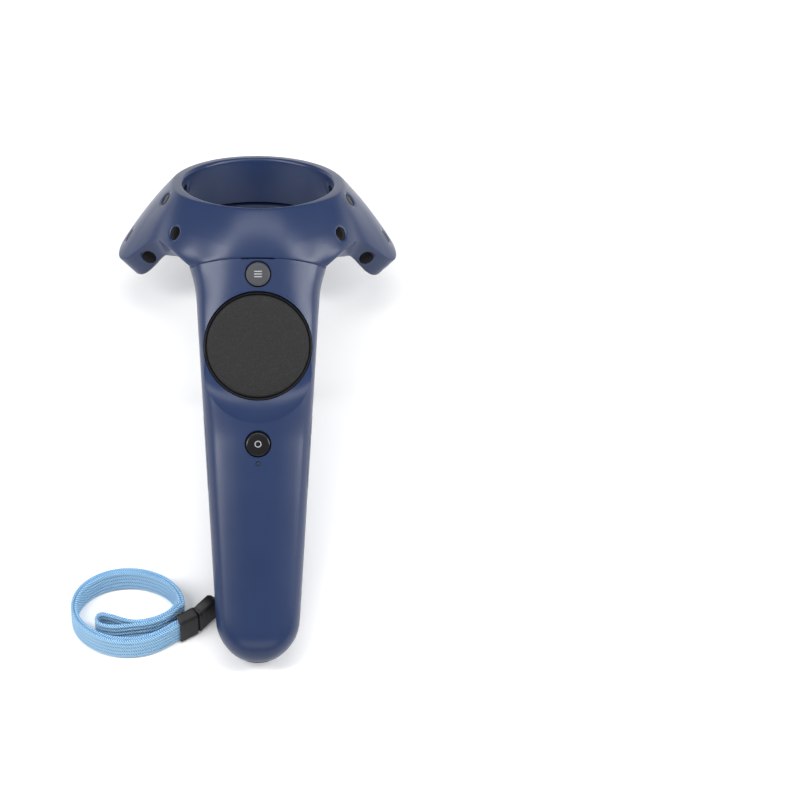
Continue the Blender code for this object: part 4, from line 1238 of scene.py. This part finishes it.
def webbing():
    line = relaxed(evenly(band_line(strap_route(10)), 0.55), 3)
    across_steps = 40
    profile = []
    for side, order in ((1, range(across_steps + 1)), (-1, range(across_steps, -1, -1))):
        for k in order:
            share = k / across_steps
            edge = min(share, 1 - share) * WEBBING_WIDTH
            rounding = sqrt(max(0.0, 1 - max(0.0, 1 - edge / 0.6) ** 2))
            rib = 0.30 * (abs(sin(pi * WEBBING_RIBS * share)) - 0.6)
            profile.append((side * ((LAYER_THICKNESS / 2 - 0.1) * max(0.15, rounding) + rib * rounding),
                            0.1 + share * (WEBBING_WIDTH - 0.15)))
    rings, lengths = [], []
    reach = 0.0
    for k, spot in enumerate(line):
        if k:
            reach += (spot - line[k - 1]).length
        across = sideways(line, k)
        rings.append([upright(spot, across * out, height) for out, height in profile])
        lengths.append(reach)
    made = loft("wrist_strap", rings, "webbing", sharp=60.0)
    layer = made.data.uv_layers.new(name="UVMap")
    count = len(profile)
    for loop in made.data.loops:
        ring, spot = divmod(loop.vertex_index, count)
        layer.data[loop.index].uv = (lengths[ring], profile[spot][1])
    return made


def rounded_section(spot, across, width, bottom, top, radius):
    """A rounded rectangle of the leaning strap's section."""
    x, low, high = width / 2 - radius, bottom + radius, top - radius
    corners = []
    for side, y, start in ((1, high, 0.0), (-1, high, 90.0), (-1, low, 180.0), (1, low, 270.0)):
        corners += arc(side * x, y, radius, start, 90.0, 5)
    return [upright(spot, across * x, y) for x, y in corners]


def bar_piece(name, node, start, end, stations):
    """A bar from start towards end. stations lists (distance, width, bottom, top, corner radius)."""
    forward = (end - start).normalized()
    across = Vector((-forward.y, forward.x, 0.0))
    rings = [rounded_section(start + forward * far, across, *sizes) for far, *sizes in stations]
    return show(loft(name, rings, "rubber", sharp=50.0), [node], place=ON_TABLE)


def sleeve_and_connector():
    start, end, tip = (Vector(spot).to_3d() for spot in (SLEEVE_START, SLEEVE_END, CONNECTOR_END))
    thick, width = WEBBING_THICKNESS, WEBBING_WIDTH
    wide, tall, length = thick + 2.4, width + 1.0, (end - start).length
    full = (wide, 0.0, tall, 1.1)
    sleeve = bar_piece("strap_slider", "strap_sleeve", start, end, (
        (3.0, thick + 0.5, 0.3, width + 0.2, 0.3), (0.25, thick + 0.5, 0.3, width + 0.2, 0.3),
        (0.0, thick + 0.9, 0.2, width + 0.35, 0.5), (0.0, wide - 0.6, 0.15, tall - 0.2, 0.9),
        (0.35, *full), (length * 0.3, *full), (length * 0.6, *full), (length * 0.85, *full),
        (length - 0.3, *full), (length, wide - 0.5, 0.15, tall - 0.2, 0.9)))
    mouth = end + (tip - end).normalized() * 0.35
    wide, tall, reach = thick + 2.2, width + 0.2, (tip - mouth).length
    full, groove = (wide, 0.0, tall, 1.1), (wide - 0.3, 0.1, tall - 0.15, 1.0)
    connector = bar_piece("strap_joiner", "strap_connector", mouth, tip, (
        (0.0, wide - 0.6, 0.2, tall - 0.25, 0.9), (0.3, *full), (1.1, *full), (1.25, *groove),
        (1.5, *groove), (1.65, *full), (reach * 0.5, *full), (reach * 0.88, *full),
        (reach + 0.4, wide - 0.2, 0.1, tall - 1.4, 1.1), (reach + 1.8, wide - 0.5, 0.25, 7.0, 1.0),
        (reach + 3.1, thick + 1.4, 0.4, 4.9, 0.8), (reach + 3.4, thick + 0.9, 0.6, 4.5, 0.7)))
    return sleeve, connector


def string_route(steps):
    """From the connector round the bar inside the handle and back, in the row frame, in metres."""
    nose = Vector(CONNECTOR_END).to_3d()
    forward = (nose - Vector(SLEEVE_END).to_3d()).normalized()
    across = Vector((-forward.y, forward.x, 0.0))
    to_controller = TO_ROW.inverted()
    lift = TO_ROW.translation.z / MM
    strands = []
    for side in (1, -1):
        leave = upright(nose + forward * 3.0, across * side * 1.0, 2.3)
        out = nose + forward * 6.5 + across * side * 1.2 + Vector((0.0, 0.0, STRING_HEIGHT + 0.5))
        level = BAR_Z + side * 2.1
        under = -side - 3.6
        drop = (level * sin(LEAN) + lift - STRING_HEIGHT) / cos(LEAN)
        strands.append((to_controller @ (leave * MM), to_controller @ (out * MM), level, under, drop))
    leave, out, level, under, drop = strands[0]
    first = [leave, out, Vector((under - 1.6, drop, level + 0.3)),
             Vector((under + 1.6, drop - 0.9, level)), Vector((-1.0, BAR_Y + 1.4, level))]
    turn = []
    for k in range(7):
        angle = pi * k / 6
        turn.append(Vector((-1.0 + k / 3, BAR_Y - 2.1 * sin(angle), BAR_Z + 2.1 * cos(angle))))
    leave, out, level, _, drop = strands[1]
    second = [Vector((1.0, BAR_Y + 1.4, level)), Vector((-0.4, drop - 1.1, level)),
              Vector((-3.6, drop, level + 0.2)), out, leave]
    return [TO_ROW @ spot for spot in smooth_route([*first, *turn, *second], steps)]


def string_loop():
    route = string_route(6)
    curve = bpy.data.curves.new("string", "CURVE")
    curve.dimensions = "3D"
    curve.bevel_depth = STRING_RADIUS * MM
    curve.bevel_resolution = 5
    curve.use_fill_caps = True
    path = curve.splines.new("POLY")
    path.points.add(len(route) - 1)
    for point, spot in zip(path.points, route):
        point.co = (*spot, 1.0)
    curve.materials.append(LOOKS["cord"])
    made = linked(bpy.data.objects.new("strap_string", curve))
    show(made, ["string_loop"], place=Matrix())


def strap():
    sleeve, connector = sleeve_and_connector()
    band = webbing()
    show(band, ["strap_webbing"], place=ON_TABLE)
    middle = upright(Vector(), Vector(), WEBBING_WIDTH / 2)
    path = [(spot + middle) * MM for spot in strap_route(3)]
    string_loop()


# ---- carried-over nodes ----


CARRIED = {
    "black": ("sensor_carrier", "hall_sensor"),
    "inner": ("chassis", "trackpad_switch", "menu_switch", "system_switch", "grip_switch_left",
              "grip_switch_right", "trigger_switch"),
    "board": ("main_board", "charging_board", "trackpad_board", "head_board"),
    "steel": ("trigger_pin", "trigger_magnet", "lanyard_bar", "charging_socket", "haptic_motor",
              *(f"{screw}_{side}" for screw in ("head_screw", "handle_screw_lower", "handle_screw_upper")
                for side in ("right", "left"))),
    "foil": ("battery",),
    "brass": ("antenna",),
    "light": ("status_light_pipe",),
}


def repaint():
    for look, names in CARRIED.items():
        for name in names:
            mesh = frame["nodes"][name].data
            mesh.materials.clear()
            mesh.materials.append(LOOKS[look])


# ---- the scene ----


camera()
strap()
studio()
floor()
repaint()
head()
front_shell()
back_shell()
trackpad()
buttons()
trigger()
spring()
grips()
